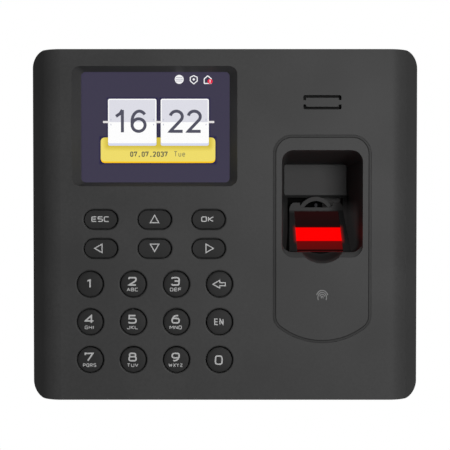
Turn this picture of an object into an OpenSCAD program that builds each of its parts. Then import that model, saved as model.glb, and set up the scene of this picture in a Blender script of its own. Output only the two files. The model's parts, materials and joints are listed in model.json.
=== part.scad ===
// Wall-mounted fingerprint scanner terminal, in millimetres.
// X runs right, Z up, the wall is the plane y = 0 and the front face looks along -Y.
// Depths are measured backwards from the front face, so y = depth - total_depth.

/* [Body] */
// Width of the terminal
body_w = 152; // [150:1:200]
// Height of the terminal
body_h = 135.5; // [132:0.5:180]
// Depth from the front face to the wall
total_depth = 36; // [36:0.5:48]
// Wall thickness of both shells
wall = 2.2; // [1.8:0.1:2.8]
// Corner radius seen from the front
corner_r = 6; // [5:0.5:10]
// Width of the rounded slope at each side
side_w = 12.5; // [9:0.5:14]
// Steepness of that slope
side_angle = 50; // [40:1:60]
// Depth of the seam between front shell and rear cover
seam_depth = 24; // [23:0.5:25]
// Gap between the rear cover and the wall
wall_gap = 0.5; // [0.3:0.1:1]

/* [Screen] */
// Visible width of the screen
lcd_w = 57.9; // [50:0.1:66]
// Visible height of the screen
lcd_h = 43; // [36:0.1:50]
// Depth of the recess round the screen
lcd_recess = 4.5; // [3.5:0.1:5]
// How far the recess opens out at each side
lcd_flare_x = 2.95; // [2:0.05:4]
// How far the recess opens out above and below
lcd_flare_z = 1.65; // [1:0.05:3]
// Distance from the left edge to the middle of the screen
lcd_from_left = 48.85; // [48.5:0.05:54]
// Distance from the top edge to the middle of the screen
lcd_from_top = 29.65; // [29:0.05:34]

/* [Keys] */
// Diameter of a round key cap
round_key_d = 9.6; // [7.5:0.1:11.4]
// Width of a pill key cap
pill_w = 12.4; // [10:0.1:14.4]
// Height of a pill key cap
pill_h = 6.95; // [5:0.05:7.4]
// Gap between a key cap and the edge of its hole
key_gap = 0.4; // [0.2:0.05:0.5]
// Radius of the rounded mouth of each key hole
key_rim = 0.6; // [0.4:0.05:1]
// How far the middle of a key stands out of the front face
key_proud = 0.5; // [0.3:0.1:1.6]
// Travel of a key
key_travel = 0.8; // [0.5:0.05:1]
// Distance between round keys across
round_pitch_x = 16.66; // [16:0.01:19]
// Distance between round keys downwards
round_pitch_z = 14.65; // [14.4:0.05:17]
// Distance between pill keys across
pill_pitch_x = 20.8; // [20:0.1:24]
// Distance between pill keys downwards
pill_pitch_z = 11.22; // [10.8:0.02:13]
// Distance from the left edge to the first round key
round_from_left = 23.85; // [23.5:0.05:28]
// Distance from the bottom edge to the lowest round key
round_from_bottom = 15.6; // [15:0.1:18]
// Distance from the lowest round key up to the lower pill row
pill_above_round = 43.05; // [42:0.05:52]

/* [Fingerprint panel] */
// Width of the panel
panel_w = 37.8; // [36:0.1:42]
// Distance from the right edge to the middle of the panel
panel_from_right = 38.45; // [37:0.05:42]
// Distance from the top edge to the top of the panel
panel_from_top = 33.05; // [32:0.05:40]
// Height of the panel
panel_h = 80.3; // [76:0.1:90]
// Radius of its upper corners
panel_top_r = 7.3; // [5:0.1:10]
// Radius of its lower corners
panel_low_r = 6; // [4:0.1:8]
// Radius of its curved lower edge
panel_arc_r = 27; // [24:0.5:40]
// How far the panel stands out of the front face
panel_proud = 0.3; // [0.1:0.05:0.6]
// Width of the finger bay at the face
bay_w = 31.3; // [30:0.1:33]
// Height of the finger bay at the face
bay_h = 41.5; // [40:0.5:44]
// Distance from the top of the panel to the top of the bay
bay_from_top = 5.8; // [5:0.1:8]
// Depth of the finger bay
bay_depth = 27.6; // [27:0.1:28]
// Corner radius of the bay
bay_r = 4.6; // [3:0.1:6]
// Width of the glass prism
prism_w = 18.1; // [16:0.1:19]

/* [Wall plate] */
// Width of the wall plate
plate_w = 76; // [72:1:84]
// Height of the wall plate
plate_h = 96; // [90:1:100]
// Thickness of the wall plate
plate_t = 1.2; // [1:0.1:1.6]
// Distance between wall screw holes, both ways
screw_spacing = 60; // [50:1:64]
// Radius of a wall screw hole
screw_hole_r = 2.2; // [1.8:0.1:2.6]
// How far the terminal lifts to come off its hooks
lift = 8; // [6:0.5:8]
// Width of a hook
hook_w = 8; // [6:0.5:8]

/* [Hidden] */
$fn = 64;
eps = 0.5;
fit = 0.15;

// Colours
face_grey = "#444444";
key_grey = "#2D2D2D";
dark_grey = "#1C1C1C";
board_green = "#1F4A33";
steel = "#9A9DA0";
gold = "#B99B5A";

// Body
half_w = body_w / 2;
half_h = body_h / 2;
flat_half = half_w - side_w;
side_blend_r = 0.6 * side_w / sin(side_angle);
back_depth = total_depth - wall_gap;
floor_front = back_depth - wall;
lip_t = 1.2;
lip_len = 2;

// Screen, behind its recess
lcd_x = lcd_from_left - half_w;
lcd_z = half_h - lcd_from_top;
lcd_recess_r = 3.2;
lcd_r = 1.7;
lcd_rim = 1.6;
window_t = 1.5;
gasket_t = 0.4;
panel_t = 2.5;
tray_t = 0.6;
window_depth = lcd_recess;
gasket_depth = window_depth + window_t;
glass_depth = gasket_depth + gasket_t;
tray_depth = glass_depth + panel_t;
lcd_border = 5.9;
lcd_border_low = 3.6;

// Keys
cap_back = wall + 0.4;
flange_t = 1;
flange_rim = 1.1;
stem_r = 2;
stem_len = 0.8;
dome_top = cap_back + flange_t + stem_len;
dome_h = 1.4;
mat_t = 1;
mat_depth = dome_top + dome_h;
key_board_depth = mat_depth + mat_t;
key_board_t = 1.6;
round_dome_r = 30;
pill_dome_r = 20;
round_x0 = round_from_left - half_w;
round_z0 = round_from_bottom - half_h;
pad_mid_x = round_x0 + 1.5 * round_pitch_x;
pill_z0 = round_z0 + pill_above_round;
function round_at(col, row) = [round_x0 + col * round_pitch_x, round_z0 + row * round_pitch_z];
function pill_at(col, row) = [pad_mid_x + (col - 1) * pill_pitch_x, pill_z0 + row * pill_pitch_z];
ROUND_KEYS = [for (row = [0:2], col = [0:3]) round_at(col, row)];
PILL_KEYS = [for (row = [0:1], col = [0:2]) pill_at(col, row)];
key_post_r = 2.2;
KEY_POSTS = [for (row = [0.5, 1.5], col = [0.5, 2.5]) round_at(col, row),
  pill_at(0.5, 0.5), pill_at(1.5, 0.5)];
key_board_w = 3 * round_pitch_x + 14;
key_board_low = round_z0 - 7;
key_board_top = pill_z0 + pill_pitch_z + 5;

// Fingerprint panel
panel_x = half_w - panel_from_right;
panel_top = half_h - panel_from_top;
panel_low = panel_top - panel_h;
arc_z = panel_low + panel_arc_r;
low_x = panel_w / 2 - panel_low_r;
low_z = arc_z - sqrt(pow(panel_arc_r - panel_low_r, 2) - pow(low_x, 2));
panel_edge = 0.9;
panel_t2 = 1.2;
ledge = 0.8;
panel_gap = 0.1;
groove_w = 0.3;
groove_t = 0.25;
bay_top = panel_top - bay_from_top;
bay_low = bay_top - bay_h;
bay_side_taper = 2.55;
bay_top_taper = 3.9;
bay_wall = 1.4;
slice_t = 0.3;
sill_depth = 1.2;
sill_h = 2;
pad_t = 0.6;
pad_w = bay_w - 2 * bay_side_taper;
pad_h = 12.7;
pad_low = bay_top - 17;
bay_back = bay_depth + bay_wall;

// Optical sensor: a 45 degree glass face rising to the back of the bay
prism_low = bay_low + sill_h - 0.05;
prism_front = 7.5;
prism_leg = 15.9;
prism_back = prism_front + prism_leg;
prism_top = prism_low + prism_leg;
bar_top = prism_top + 3.55;
frame_back = prism_back + 2;
frame_low = bay_low - 1.4;
frame_top_w = 21.6;
frame_low_w = 24.9;
shoulder = 0.3;
notch_w = 13.3;
notch_low = bar_top - 1.95;
stop_r = 7.4;
stop_t = 1.75;
stop_z = notch_low - 3;
housing_low = frame_low - 20;
scoop_r = 11.4;
scoop_drop = 2.15;
scoop_angle = 25;
sensor_post_x = 15;
SENSOR_POSTS = [for (side = [-1, 1], z = [-7, -15]) [side * sensor_post_x, frame_low + z]];
sensor_post_depth = 8;

// Speaker behind its two bracket-shaped slots
speaker_x = panel_x;
speaker_z = half_h - 20.45;
speaker_r = 11;
speaker_depth = wall + 0.4;
grille_w = 14.7;
grille_h = 5.5;
grille_slot = 1.05;
grille_gap = 1.7;

// Boards behind the keypad
board_depth = 20;
board_t = 1.6;
board_left = -half_w + 14;
board_right = panel_x - bay_w / 2 - bay_wall - 4;
board_z = half_h - 8;
board_hole_in = 5;
BOARD_POSTS = [for (x = [board_left + board_hole_in, board_right - board_hole_in],
  z = [-1, 1]) [x, z * (board_z - board_hole_in)]];
board_back = board_depth + board_t;
board_post_r = 3;
cover_post_r = 3.5;
cover_post_in = 9.5;
COVER_POSTS = [for (sx = [-1, 1], sz = [-1, 1])
  [sx * (half_w - cover_post_in), sz * (half_h - cover_post_in)]];
screw_r = 1.25;
screw_head_r = 2.6;

cell_r = 10;
cell_at = [board_left + cell_r + 2.2, 24];

// Wall plate, hooks and the locking screw
plate_front = total_depth - plate_t;
pocket_front = plate_front - 2.8;
pocket_floor = 2;
pocket_gap = 0.6;
hook_x = 16;
HOOKS = [[-hook_x, 34], [hook_x, 34], [-hook_x, -14], [hook_x, -14]];
hook_neck = 2;
hook_lip = 4;
hook_t = 0.9;
lip_depth = pocket_front - pocket_floor - 0.3 - hook_t;
hook_side_gap = 0.5;
shelf_w = 13;
shelf_t = 1.2;
shelf_top = -half_h + 2.95;
shelf_front = plate_front - 7.8;
lock_depth = plate_front - 4.3;
lock_r = 1.45;
lock_len = 6;
cable_w = 54;
cable_h = 20;
cable_z = -36;

vent_count = 5;
vent_pitch = 4;
vent_w = 1.8;
vent_len = 22;

// Sockets
usb_x = -half_w + 35.5;
usb_depth = 12;
usb_w = 14.5;
usb_h = 7;
usb_len = 14;
jack_back = pocket_front - 0.5;
net_x = -16;
net_w = 16;
net_h = 13.5;
dc_x = 8;
dc_w = 9;
dc_h = 11;
jack_z = cable_z;

// A flat shape drawn in X and Z, made solid from one depth to another
module slab(from, to) {
  translate([0, to - total_depth, 0]) rotate([90, 0, 0]) linear_extrude(to - from) children();
}
// A side view drawn in depth and Z, made solid from one X to another
module along_x(from, to) {
  translate([from, -total_depth, 0]) rotate([90, 0, 90]) linear_extrude(to - from) children();
}
// A plan drawn in X and depth, made solid from one Z to another
module along_z(from, to) {
  translate([0, -total_depth, from]) linear_extrude(to - from) children();
}
module box(x, z, w, h, from, to) {
  slab(from, to) translate([x, z]) square([w, h], center = true);
}
module rod(at, r, from, to) {
  slab(from, to) translate(at) circle(r);
}
module rounded(w, h, r) {
  square([w - 2 * r, h], center = true);
  square([w, h - 2 * r], center = true);
  for (sx = [-1, 1], sz = [-1, 1]) translate([sx * (w / 2 - r), sz * (h / 2 - r)]) circle(r);
}
module pill(w, h) {
  square([w - h, h], center = true);
  for (side = [-1, 1]) translate([side * (w - h) / 2, 0]) circle(h / 2);
}
module mirrored() {
  children();
  mirror([1, 0, 0]) children();
}

// Outer form of the terminal, drawn in by inset, from its front to a given depth
module plan_half(inset, to) {
  r = side_blend_r - inset;
  edge = [flat_half + r * sin(side_angle), side_blend_r - r * cos(side_angle)];
  side = half_w - inset;
  polygon([[0, inset], [flat_half, inset], edge,
    [side, edge[1] + (side - edge[0]) * tan(side_angle)], [side, to], [0, to]]);
  translate([flat_half, side_blend_r]) circle(r);
}
module body_form(inset, to) {
  intersection() {
    slab(inset, to) rounded(body_w - 2 * inset, body_h - 2 * inset, corner_r - inset);
    along_z(-half_h, half_h) mirrored() plan_half(inset, to);
  }
}

// Outline of the fingerprint panel: round top corners and a shallow curved lower edge
module panel_outline(grow) {
  w = panel_w / 2 + grow;
  top_r = panel_top_r + grow;
  arc_x = low_x * panel_arc_r / (panel_arc_r - panel_low_r);
  translate([panel_x, 0]) {
    translate([-w, low_z]) square([2 * w, panel_top - panel_top_r - low_z]);
    translate([-w + top_r, low_z]) square([2 * (w - top_r), panel_top + grow - low_z]);
    for (side = [-1, 1]) {
      translate([side * (w - top_r), panel_top - panel_top_r]) circle(top_r);
      translate([side * low_x, low_z]) circle(panel_low_r + grow);
    }
    intersection() {
      translate([0, arc_z]) circle(panel_arc_r + grow, $fn = 128);
      translate([-arc_x, panel_low - 2]) square([2 * arc_x, low_z - panel_low + 2]);
    }
  }
}

module lcd_recess_cut() {
  translate([lcd_x, 0, lcd_z]) hull() {
    slab(-0.01, 0) rounded(lcd_w + 2 * lcd_flare_x, lcd_h + 2 * lcd_flare_z, lcd_recess_r, $fn = 32);
    slab(lcd_recess, lcd_recess + 0.01) rounded(lcd_w, lcd_h, lcd_r, $fn = 32);
  }
}
// What a hole's rounded mouth takes away beyond its radius r, with depth along Y
module rim_section(r) {
  difference() {
    translate([0, -eps]) square([r + key_rim, key_rim + eps]);
    translate([r + key_rim, key_rim]) circle(key_rim);
  }
}
module rim_ring(at, r) {
  translate([at[0], -total_depth, at[1]]) rotate([-90, 0, 0]) rotate_extrude() rim_section(r);
}
module round_hole_cut(at) {
  r = round_key_d / 2 + key_gap;
  rod(at, r, -eps, wall + eps);
  rim_ring(at, r);
}
module pill_hole_cut(at) {
  w = pill_w + 2 * key_gap;
  h = pill_h + 2 * key_gap;
  end = (w - h) / 2;
  slab(-eps, wall + eps) translate(at) pill(w, h);
  for (side = [-1, 1]) rim_ring([at[0] + side * end, at[1]], h / 2);
  translate([at[0], 0, at[1]]) for (half = [0, 1]) mirror([0, 0, half]) along_x(-end, end)
    mirror([1, -1]) rim_section(h / 2);
}
module grille_cut() {
  slab(-eps, wall + eps) translate([speaker_x, speaker_z]) difference() {
    rounded(grille_w, grille_h, 0.7);
    rounded(grille_w - 2 * grille_slot, grille_h - 2 * grille_slot, 0.3);
    square([grille_w + 1, grille_gap], center = true);
  }
}

module front_shell() {
  color(face_grey) difference() {
    union() {
      difference() {
        body_form(0, seam_depth);
        body_form(wall, seam_depth + eps);
      }
      slab(wall - 0.2, lcd_recess) translate([lcd_x, lcd_z])
        rounded(lcd_w + 2 * (lcd_flare_x + lcd_rim), lcd_h + 2 * (lcd_flare_z + lcd_rim), 3);
      for (at = KEY_POSTS) rod(at, key_post_r, wall - 0.2, key_board_depth);
      intersection() {
        body_form(wall - 0.2, floor_front);
        for (at = COVER_POSTS) rod(at, cover_post_r, wall - 0.2, floor_front);
      }
      slab(wall - 0.2, speaker_depth + 1.5) translate([speaker_x, speaker_z]) difference() {
        circle(speaker_r + 1.2);
        circle(speaker_r + fit);
      }
    }
    lcd_recess_cut();
    for (at = ROUND_KEYS) round_hole_cut(at);
    for (at = PILL_KEYS) pill_hole_cut(at);
    for (at = KEY_POSTS) rod(at, 0.8, key_board_depth - 4, key_board_depth + eps);
    for (at = COVER_POSTS) rod(at, screw_r, floor_front - 12, floor_front + eps);
    grille_cut();
    slab(-eps, panel_t2) panel_outline(panel_gap);
    slab(panel_t2 - eps, wall + eps) panel_outline(-ledge);
    box(usb_x, -half_h, usb_w - 1, 3 * wall, usb_depth + 0.6, usb_depth + usb_h - 0.6);
  }
}

// Rear cover with its sunk pocket for the wall plate
module pocket_outline(grow) {
  w = plate_w + 2 * (pocket_gap + grow);
  top = plate_h / 2 + pocket_gap + grow;
  low = -plate_h / 2 - lift - pocket_gap - grow;
  translate([-w / 2, low]) square([w, top - low]);
}
module shell_slab(inset, from, to) {
  slab(from, to) rounded(body_w - 2 * inset, body_h - 2 * inset, corner_r - inset);
}
module rear_cover() {
  hook_low = hook_neck + lift + hook_side_gap;
  tongue_w = shelf_w + 3;
  color(face_grey) difference() {
    union() {
      difference() {
        shell_slab(0, seam_depth, back_depth);
        shell_slab(wall, seam_depth - eps, floor_front);
      }
      difference() {
        union() {
          shell_slab(wall + fit, seam_depth - lip_len, seam_depth + 1);
          shell_slab(wall - 0.2, seam_depth, seam_depth + lip_len);
        }
        shell_slab(wall + fit + lip_t, seam_depth - lip_len - eps, seam_depth + lip_len + eps);
        for (at = COVER_POSTS)
          rod(at, cover_post_r + 2 * fit, seam_depth - lip_len - eps, seam_depth + lip_len + eps);
      }
      slab(pocket_front - pocket_floor, floor_front + 0.2) pocket_outline(wall);
      box(0, -half_h + 7, shelf_w + 8, 14 - 0.01, seam_depth + 1.5, back_depth);
      for (at = BOARD_POSTS) rod(at, board_post_r, board_back, floor_front + 0.2);
    }
    slab(pocket_front, back_depth + eps) pocket_outline(0);
    slab(pocket_front, back_depth + eps) translate([-tongue_w / 2, -half_h - eps])
      square([tongue_w, half_h + eps - plate_h / 2]);
    box(0, -half_h, tongue_w, 2 * (half_h + shelf_top + 0.2), shelf_front - 1, back_depth + eps);
    translate([0, lock_depth - total_depth, shelf_top - 1])
      cylinder(lock_len + 3, lock_r + 0.3, lock_r + 0.3);
    for (at = HOOKS) box(at[0], at[1] + 0.1 - hook_low / 2, hook_w + 2 * hook_side_gap, hook_low,
      pocket_front - pocket_floor - eps, pocket_front + eps);
    for (at = BOARD_POSTS) rod(at, 1, board_back - eps, board_back + 7);
    for (at = COVER_POSTS) {
      rod(at, screw_r + 0.4, floor_front - eps, back_depth + eps);
      rod(at, screw_head_r + 0.3, back_depth - 1.2, back_depth + eps);
    }
    box(net_x, jack_z, net_w + 0.6, net_h + 0.6, pocket_front - pocket_floor - eps, pocket_front + eps);
    box(dc_x, jack_z, dc_w + 0.6, dc_h + 0.6, pocket_front - pocket_floor - eps, pocket_front + eps);
    for (i = [0:vent_count - 1]) slab(floor_front - eps, back_depth + eps)
      translate([-half_w + 12 + vent_pitch * i, 22]) rounded(vent_w, vent_len, 0.45 * vent_w);
  }
}

module mounting_plate() {
  tongue_top = -plate_h / 2 + 1;
  color(steel) difference() {
    union() {
      slab(plate_front, total_depth) rounded(plate_w, plate_h, 3);
      slab(plate_front, total_depth) translate([-shelf_w / 2, shelf_top - shelf_t])
        square([shelf_w, tongue_top - shelf_top + shelf_t]);
      slab(shelf_front, total_depth) translate([-shelf_w / 2, shelf_top - shelf_t])
        square([shelf_w, shelf_t]);
      for (at = HOOKS) {
        box(at[0], at[1] - hook_neck / 2, hook_w, hook_neck, lip_depth, plate_front + 0.2);
        box(at[0], at[1] + (hook_lip - hook_neck) / 2, hook_w, hook_lip + hook_neck,
          lip_depth, lip_depth + hook_t);
      }
    }
    for (sx = [-1, 1], sz = [-1, 1])
      rod([sx * screw_spacing / 2, sz * screw_spacing / 2], screw_hole_r, plate_front - eps,
        total_depth + eps);
    slab(plate_front - eps, total_depth + eps) translate([0, cable_z]) rounded(cable_w, cable_h, 3);
    slab(plate_front - eps, total_depth + eps) translate([0, 10]) rounded(26, 22, 3);
    translate([0, lock_depth - total_depth, shelf_top - shelf_t - eps])
      cylinder(shelf_t + 2 * eps, lock_r + fit, lock_r + fit);
  }
}
module lock_screw() {
  color(steel) translate([0, lock_depth - total_depth, shelf_top - shelf_t]) difference() {
    union() {
      cylinder(shelf_t + lock_len, lock_r, lock_r);
      translate([0, 0, -1.5]) cylinder(1.5, 2.7, 2.7);
    }
    translate([0, 0, -2]) cylinder(1.4, 1.2, 1.2, $fn = 6);
  }
}

module lcd_window() {
  color("#16161C") slab(window_depth, gasket_depth) translate([lcd_x, lcd_z])
    rounded(lcd_w + 5, lcd_h + 4.4, 1.5);
}
module lcd_gasket() {
  color(dark_grey) slab(gasket_depth, glass_depth) translate([lcd_x, lcd_z]) difference() {
    rounded(lcd_w + 5, lcd_h + 4.4, 1.5);
    square([lcd_w + 1.2, lcd_h + 1.2], center = true);
  }
}
module lcd_panel() {
  color("#3F3B4F") slab(glass_depth, tray_depth) translate([lcd_x, lcd_z - 1])
    rounded(lcd_w + 2 * lcd_border, lcd_h + 2 * lcd_border_low, 0.5);
}
module lcd_frame() {
  w = lcd_w + 2 * lcd_border + 2 * fit;
  h = lcd_h + 2 * lcd_border_low + 2 * fit;
  color(steel) translate([lcd_x, 0, lcd_z - 1]) {
    difference() {
      slab(glass_depth + 0.4, tray_depth + tray_t) rounded(w + 2 * tray_t, h + 2 * tray_t, 1);
      slab(glass_depth, tray_depth) square([w, h], center = true);
      slab(tray_depth - eps, tray_depth + 1) translate([0, -8]) rounded(22, 6, 1);
    }
  }
}
module lcd_ribbon() {
  top = lcd_z - 6;
  drop = 10;
  turn = tray_depth + tray_t + 4;
  t = 0.3;
  color(gold) along_x(lcd_x - 9, lcd_x + 9) polygon([[tray_depth, top], [turn, top],
    [turn, top - drop], [board_depth, top - drop], [board_depth, top - drop - t],
    [turn - t, top - drop - t], [turn - t, top - t], [tray_depth, top - t]]);
}

module key_area(margin) {
  w = key_board_w - 2 * margin;
  low = key_board_low + margin;
  translate([pad_mid_x - w / 2, low]) square([w, key_board_top - margin - low]);
}
module keypad_mat() {
  color("#30302E") difference() {
    union() {
      slab(mat_depth, key_board_depth) key_area(1);
      for (at = concat(ROUND_KEYS, PILL_KEYS)) translate([at[0], dome_top - total_depth, at[1]])
        rotate([-90, 0, 0]) cylinder(dome_h + 0.2, 2.2, 3.4, $fn = 32);
    }
    for (at = KEY_POSTS) rod(at, key_post_r + 0.3, mat_depth - eps, key_board_depth + eps);
  }
}
module key_board() {
  color(board_green) difference() {
    slab(key_board_depth, key_board_depth + key_board_t) key_area(0);
    for (at = KEY_POSTS) rod(at, 1.1, key_board_depth - eps, key_board_depth + key_board_t + eps);
  }
}
module key_base(at) {
  rod(at, stem_r, cap_back, dome_top);
}
module round_key(at) {
  color(key_grey) {
    translate([at[0], -total_depth, at[1]]) rotate([90, 0, 0]) rotate_extrude() intersection() {
      translate([0, -cap_back]) square([round_key_d / 2, cap_back + key_proud]);
      translate([0, key_proud - round_dome_r]) circle(round_dome_r, $fn = 256);
    }
    rod(at, round_key_d / 2 + flange_rim, cap_back, cap_back + flange_t);
    key_base(at);
  }
}
module pill_key(at) {
  color(key_grey) {
    intersection() {
      slab(-key_proud, cap_back) translate(at) pill(pill_w, pill_h);
      translate([at[0] - pill_w, pill_dome_r - key_proud - total_depth, at[1]])
        rotate([0, 90, 0]) cylinder(2 * pill_w, pill_dome_r, pill_dome_r, $fn = 128);
    }
    slab(cap_back, cap_back + flange_t) translate(at)
      pill(pill_w + 2 * flange_rim, pill_h + 2 * flange_rim);
    key_base(at);
  }
}
module key_esc() pill_key(pill_at(0, 1));
module key_up() pill_key(pill_at(1, 1));
module key_ok() pill_key(pill_at(2, 1));
module key_left() pill_key(pill_at(0, 0));
module key_down() pill_key(pill_at(1, 0));
module key_right() pill_key(pill_at(2, 0));
module key_1() round_key(round_at(0, 2));
module key_2() round_key(round_at(1, 2));
module key_3() round_key(round_at(2, 2));
module key_back() round_key(round_at(3, 2));
module key_4() round_key(round_at(0, 1));
module key_5() round_key(round_at(1, 1));
module key_6() round_key(round_at(2, 1));
module key_en() round_key(round_at(3, 1));
module key_7() round_key(round_at(0, 0));
module key_8() round_key(round_at(1, 0));
module key_9() round_key(round_at(2, 0));
module key_0() round_key(round_at(3, 0));

module main_board() {
  color(board_green) difference() {
    slab(board_depth, board_back) translate([board_left, -board_z])
      square([board_right - board_left, 2 * board_z]);
    for (at = BOARD_POSTS) rod(at, 1.3, board_depth - eps, board_back + eps);
  }
}
module main_chips() {
  color("#222326") {
    box(-30, -8, 16, 16, board_depth - 1.4, board_depth);
    box(-48, 4, 11, 13, board_depth - 1, board_depth);
    box(-8, -2, 9, 9, board_depth - 1, board_depth);
    box(-30, -34, 10, 6, board_depth - 1.6, board_depth);
    for (i = [0:3]) box(-52 + 6 * i, -28, 3, 4, board_depth - 1.2, board_depth);
    for (i = [0:2]) rod([-2, -22 - 9 * i], 2.6, board_depth - 6, board_depth);
  }
}
module cell_holder() {
  color(dark_grey) difference() {
    rod(cell_at, cell_r + 2, board_depth - 4, board_depth);
    rod(cell_at, cell_r + fit, board_depth - 4 - eps, board_depth - 0.6);
    box(cell_at[0], cell_at[1] - cell_r - 2, cell_r, 8, board_depth - 4 - eps, board_depth - 0.6);
  }
}
module backup_cell() {
  color(steel) union() {
    rod(cell_at, cell_r, board_depth - 3.2, board_depth - 0.6);
    rod(cell_at, cell_r - 1, board_depth - 3.8, board_depth - 3.2);
  }
}

module speaker_mesh() {
  color(dark_grey) rod([speaker_x, speaker_z], speaker_r - 0.5, wall, speaker_depth);
}
module speaker_frame() {
  color(steel) difference() {
    rod([speaker_x, speaker_z], speaker_r, speaker_depth, speaker_depth + 4);
    rod([speaker_x, speaker_z], speaker_r - 1, speaker_depth - eps, speaker_depth + 3);
    rod([speaker_x, speaker_z], 4, speaker_depth - eps, speaker_depth + 4 + eps);
  }
}
module speaker_cone() {
  color(dark_grey) translate([speaker_x, speaker_depth + 0.4 - total_depth, speaker_z])
    rotate([-90, 0, 0]) difference() {
      cylinder(2.4, speaker_r - 1, 3.6);
      translate([0, 0, -0.5]) cylinder(2.4, speaker_r - 1, 3.6);
    }
}
module speaker_magnet() {
  color(steel) rod([speaker_x, speaker_z], 6.5, speaker_depth + 4, speaker_depth + 8);
}
module speaker_wires() {
  start = speaker_depth + 6;
  reach = speaker_x - 6.5 - (board_right - 4);
  color("#7A1414") for (i = [0, 1]) {
    z = speaker_z - 3 + 2.2 * i;
    translate([speaker_x - 6.5 - reach - 0.5, start - total_depth, z])
      rotate([0, 90, 0]) cylinder(reach + 0.5, 0.5, 0.5, $fn = 16);
    slab(start, board_depth) translate([speaker_x - 6.5 - reach, z]) circle(0.5, $fn = 16);
  }
}

// The finger bay narrows towards its back
// The bay narrows with depth, and just inside its mouth the floor rises over a sloping sill
module bay_slice(grow, at, sill, r) {
  taper = at / bay_depth;
  h = bay_h - taper * bay_top_taper - sill;
  slab(at - slice_t, at) translate([panel_x, bay_low + sill + h / 2])
    rounded(bay_w - 2 * taper * bay_side_taper + 2 * grow, h + 2 * grow, r + grow, $fn = 48);
}
module bay_form(grow, to) {
  sill_r = bay_r - 0.6;
  hull() {
    slab(-2, 0) translate([panel_x, (bay_top + bay_low) / 2])
      rounded(bay_w + 2 * grow, bay_h + 2 * grow, bay_r + grow, $fn = 48);
    bay_slice(grow, sill_depth, sill_h, sill_r);
  }
  hull() {
    bay_slice(grow, sill_depth, sill_h, sill_r);
    bay_slice(grow, to, sill_h, 1.5);
  }
}
module scoop_cut() {
  rise = scoop_r / cos(scoop_angle);
  translate([panel_x, -total_depth, bay_low - scoop_drop + rise]) rotate([scoop_angle - 90, 0, 0])
    translate([0, 0, -12]) cylinder(12 + prism_front / cos(scoop_angle), scoop_r, scoop_r);
}
module fingerprint_bezel() {
  floor_hole = frame_low_w / 2 + 0.2;
  color(face_grey) difference() {
    union() {
      hull() {
        slab(-panel_proud, -panel_proud + 0.01) panel_outline(-panel_edge);
        slab(-0.01, 0) panel_outline(0);
      }
      slab(0, panel_t2) panel_outline(0);
      slab(panel_t2, wall + 0.3) panel_outline(-ledge - fit);
      for (side = [-1, 1], z = [panel_top - 14, low_z + 6])
        box(panel_x + side * (panel_w / 2 - ledge - 0.4), z, 1.6, 5, wall, wall + 1);
      intersection() {
        bay_form(bay_wall, bay_back);
        slab(0, bay_back) translate([panel_x - bay_w, bay_low - 6]) square([2 * bay_w, bay_h + 12]);
      }
      box(panel_x, bay_low - 1.7, 2 * scoop_r, 6.2, panel_t2, prism_front - 0.4);
      for (at = SENSOR_POSTS) rod([panel_x + at[0], at[1]], 2.5, panel_t2, sensor_post_depth);
    }
    slab(-panel_proud - eps, -panel_proud + groove_t) difference() {
      panel_outline(-panel_edge + 0.1);
      panel_outline(-panel_edge + 0.1 - groove_w);
    }
    bay_form(0, bay_depth);
    scoop_cut();
    slab(prism_front - 0.4, bay_depth + eps)
      translate([panel_x - floor_hole, bay_low - 6]) square([2 * floor_hole, 6.5 + sill_h]);
    box(panel_x, pad_low - 10, 23, 18, bay_depth - eps, bay_back + eps);
    for (at = SENSOR_POSTS)
      rod([panel_x + at[0], at[1]], 0.9, sensor_post_depth - 4, sensor_post_depth + eps);
  }
}
module bay_pad() {
  color("#3C3C3C") slab(bay_depth - pad_t, bay_depth)
    translate([panel_x, pad_low + pad_h / 2]) rounded(pad_w - 0.2, pad_h, 0.8);
}

// Sensor head: a sloping glass prism held in a black frame with a finger stop at its top
module sensor_side_view() {
  low = prism_low - 0.2;
  polygon([[frame_back, frame_low], [frame_back, bar_top], [prism_back, bar_top],
    [prism_back, prism_top + shoulder], [prism_front - 0.2, prism_low + shoulder - 0.2],
    [prism_front - 0.2, low - 1], [prism_front + 0.6, frame_low]]);
}
module sensor_front_view() {
  r = 2;
  draft = (frame_low_w - frame_top_w) / 2 / (bar_top - frame_low);
  top = frame_top_w / 2;
  polygon([[-frame_low_w / 2, frame_low], [-top - draft * r, bar_top - r], [-top + r, bar_top],
    [top - r, bar_top], [top + draft * r, bar_top - r], [frame_low_w / 2, frame_low]]);
  for (side = [-1, 1]) translate([side * (top - r), bar_top - r]) circle(r);
}
module sensor_frame() {
  color(dark_grey) union() {
    difference() {
      intersection() {
        along_x(panel_x - frame_low_w, panel_x + frame_low_w) sensor_side_view();
        slab(0, total_depth) translate([panel_x, 0]) sensor_front_view();
      }
      along_x(panel_x - prism_w / 2, panel_x + prism_w / 2) polygon([[prism_back, frame_low - eps],
        [prism_back, prism_top], [prism_back - 2, prism_top + 2], [prism_front - 2, prism_low],
        [prism_front, prism_low], [prism_front + 1.2, prism_low - 0.01],
        [prism_front + 1.2, frame_low - eps]]);
      slab(prism_back - eps, frame_back + eps) translate([panel_x, notch_low + 3])
        rounded(notch_w, 6, 1.2);
    }
    intersection() {
      slab(frame_back - 0.8, bay_depth - pad_t - 0.2) translate([panel_x, stop_z]) difference() {
        circle(stop_r);
        circle(stop_r - stop_t);
      }
      box(panel_x, notch_low + 3, 2 * stop_r, 8, 0, total_depth);
    }
  }
}
module sensor_prism() {
  color("#8E0B0B") along_x(panel_x - prism_w / 2, panel_x + prism_w / 2)
    polygon([[prism_back, prism_low], [prism_back, prism_top], [prism_front, prism_low]]);
}
module finger_detector() {
  r = 0.6;
  z = notch_low + 1.05;
  color("#D8D8D0") {
    rod([panel_x, z], r, prism_back + 0.7, frame_back + 1);
    box(panel_x, (notch_low + z) / 2, 1, z - notch_low, prism_back + 1, frame_back);
  }
}
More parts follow.
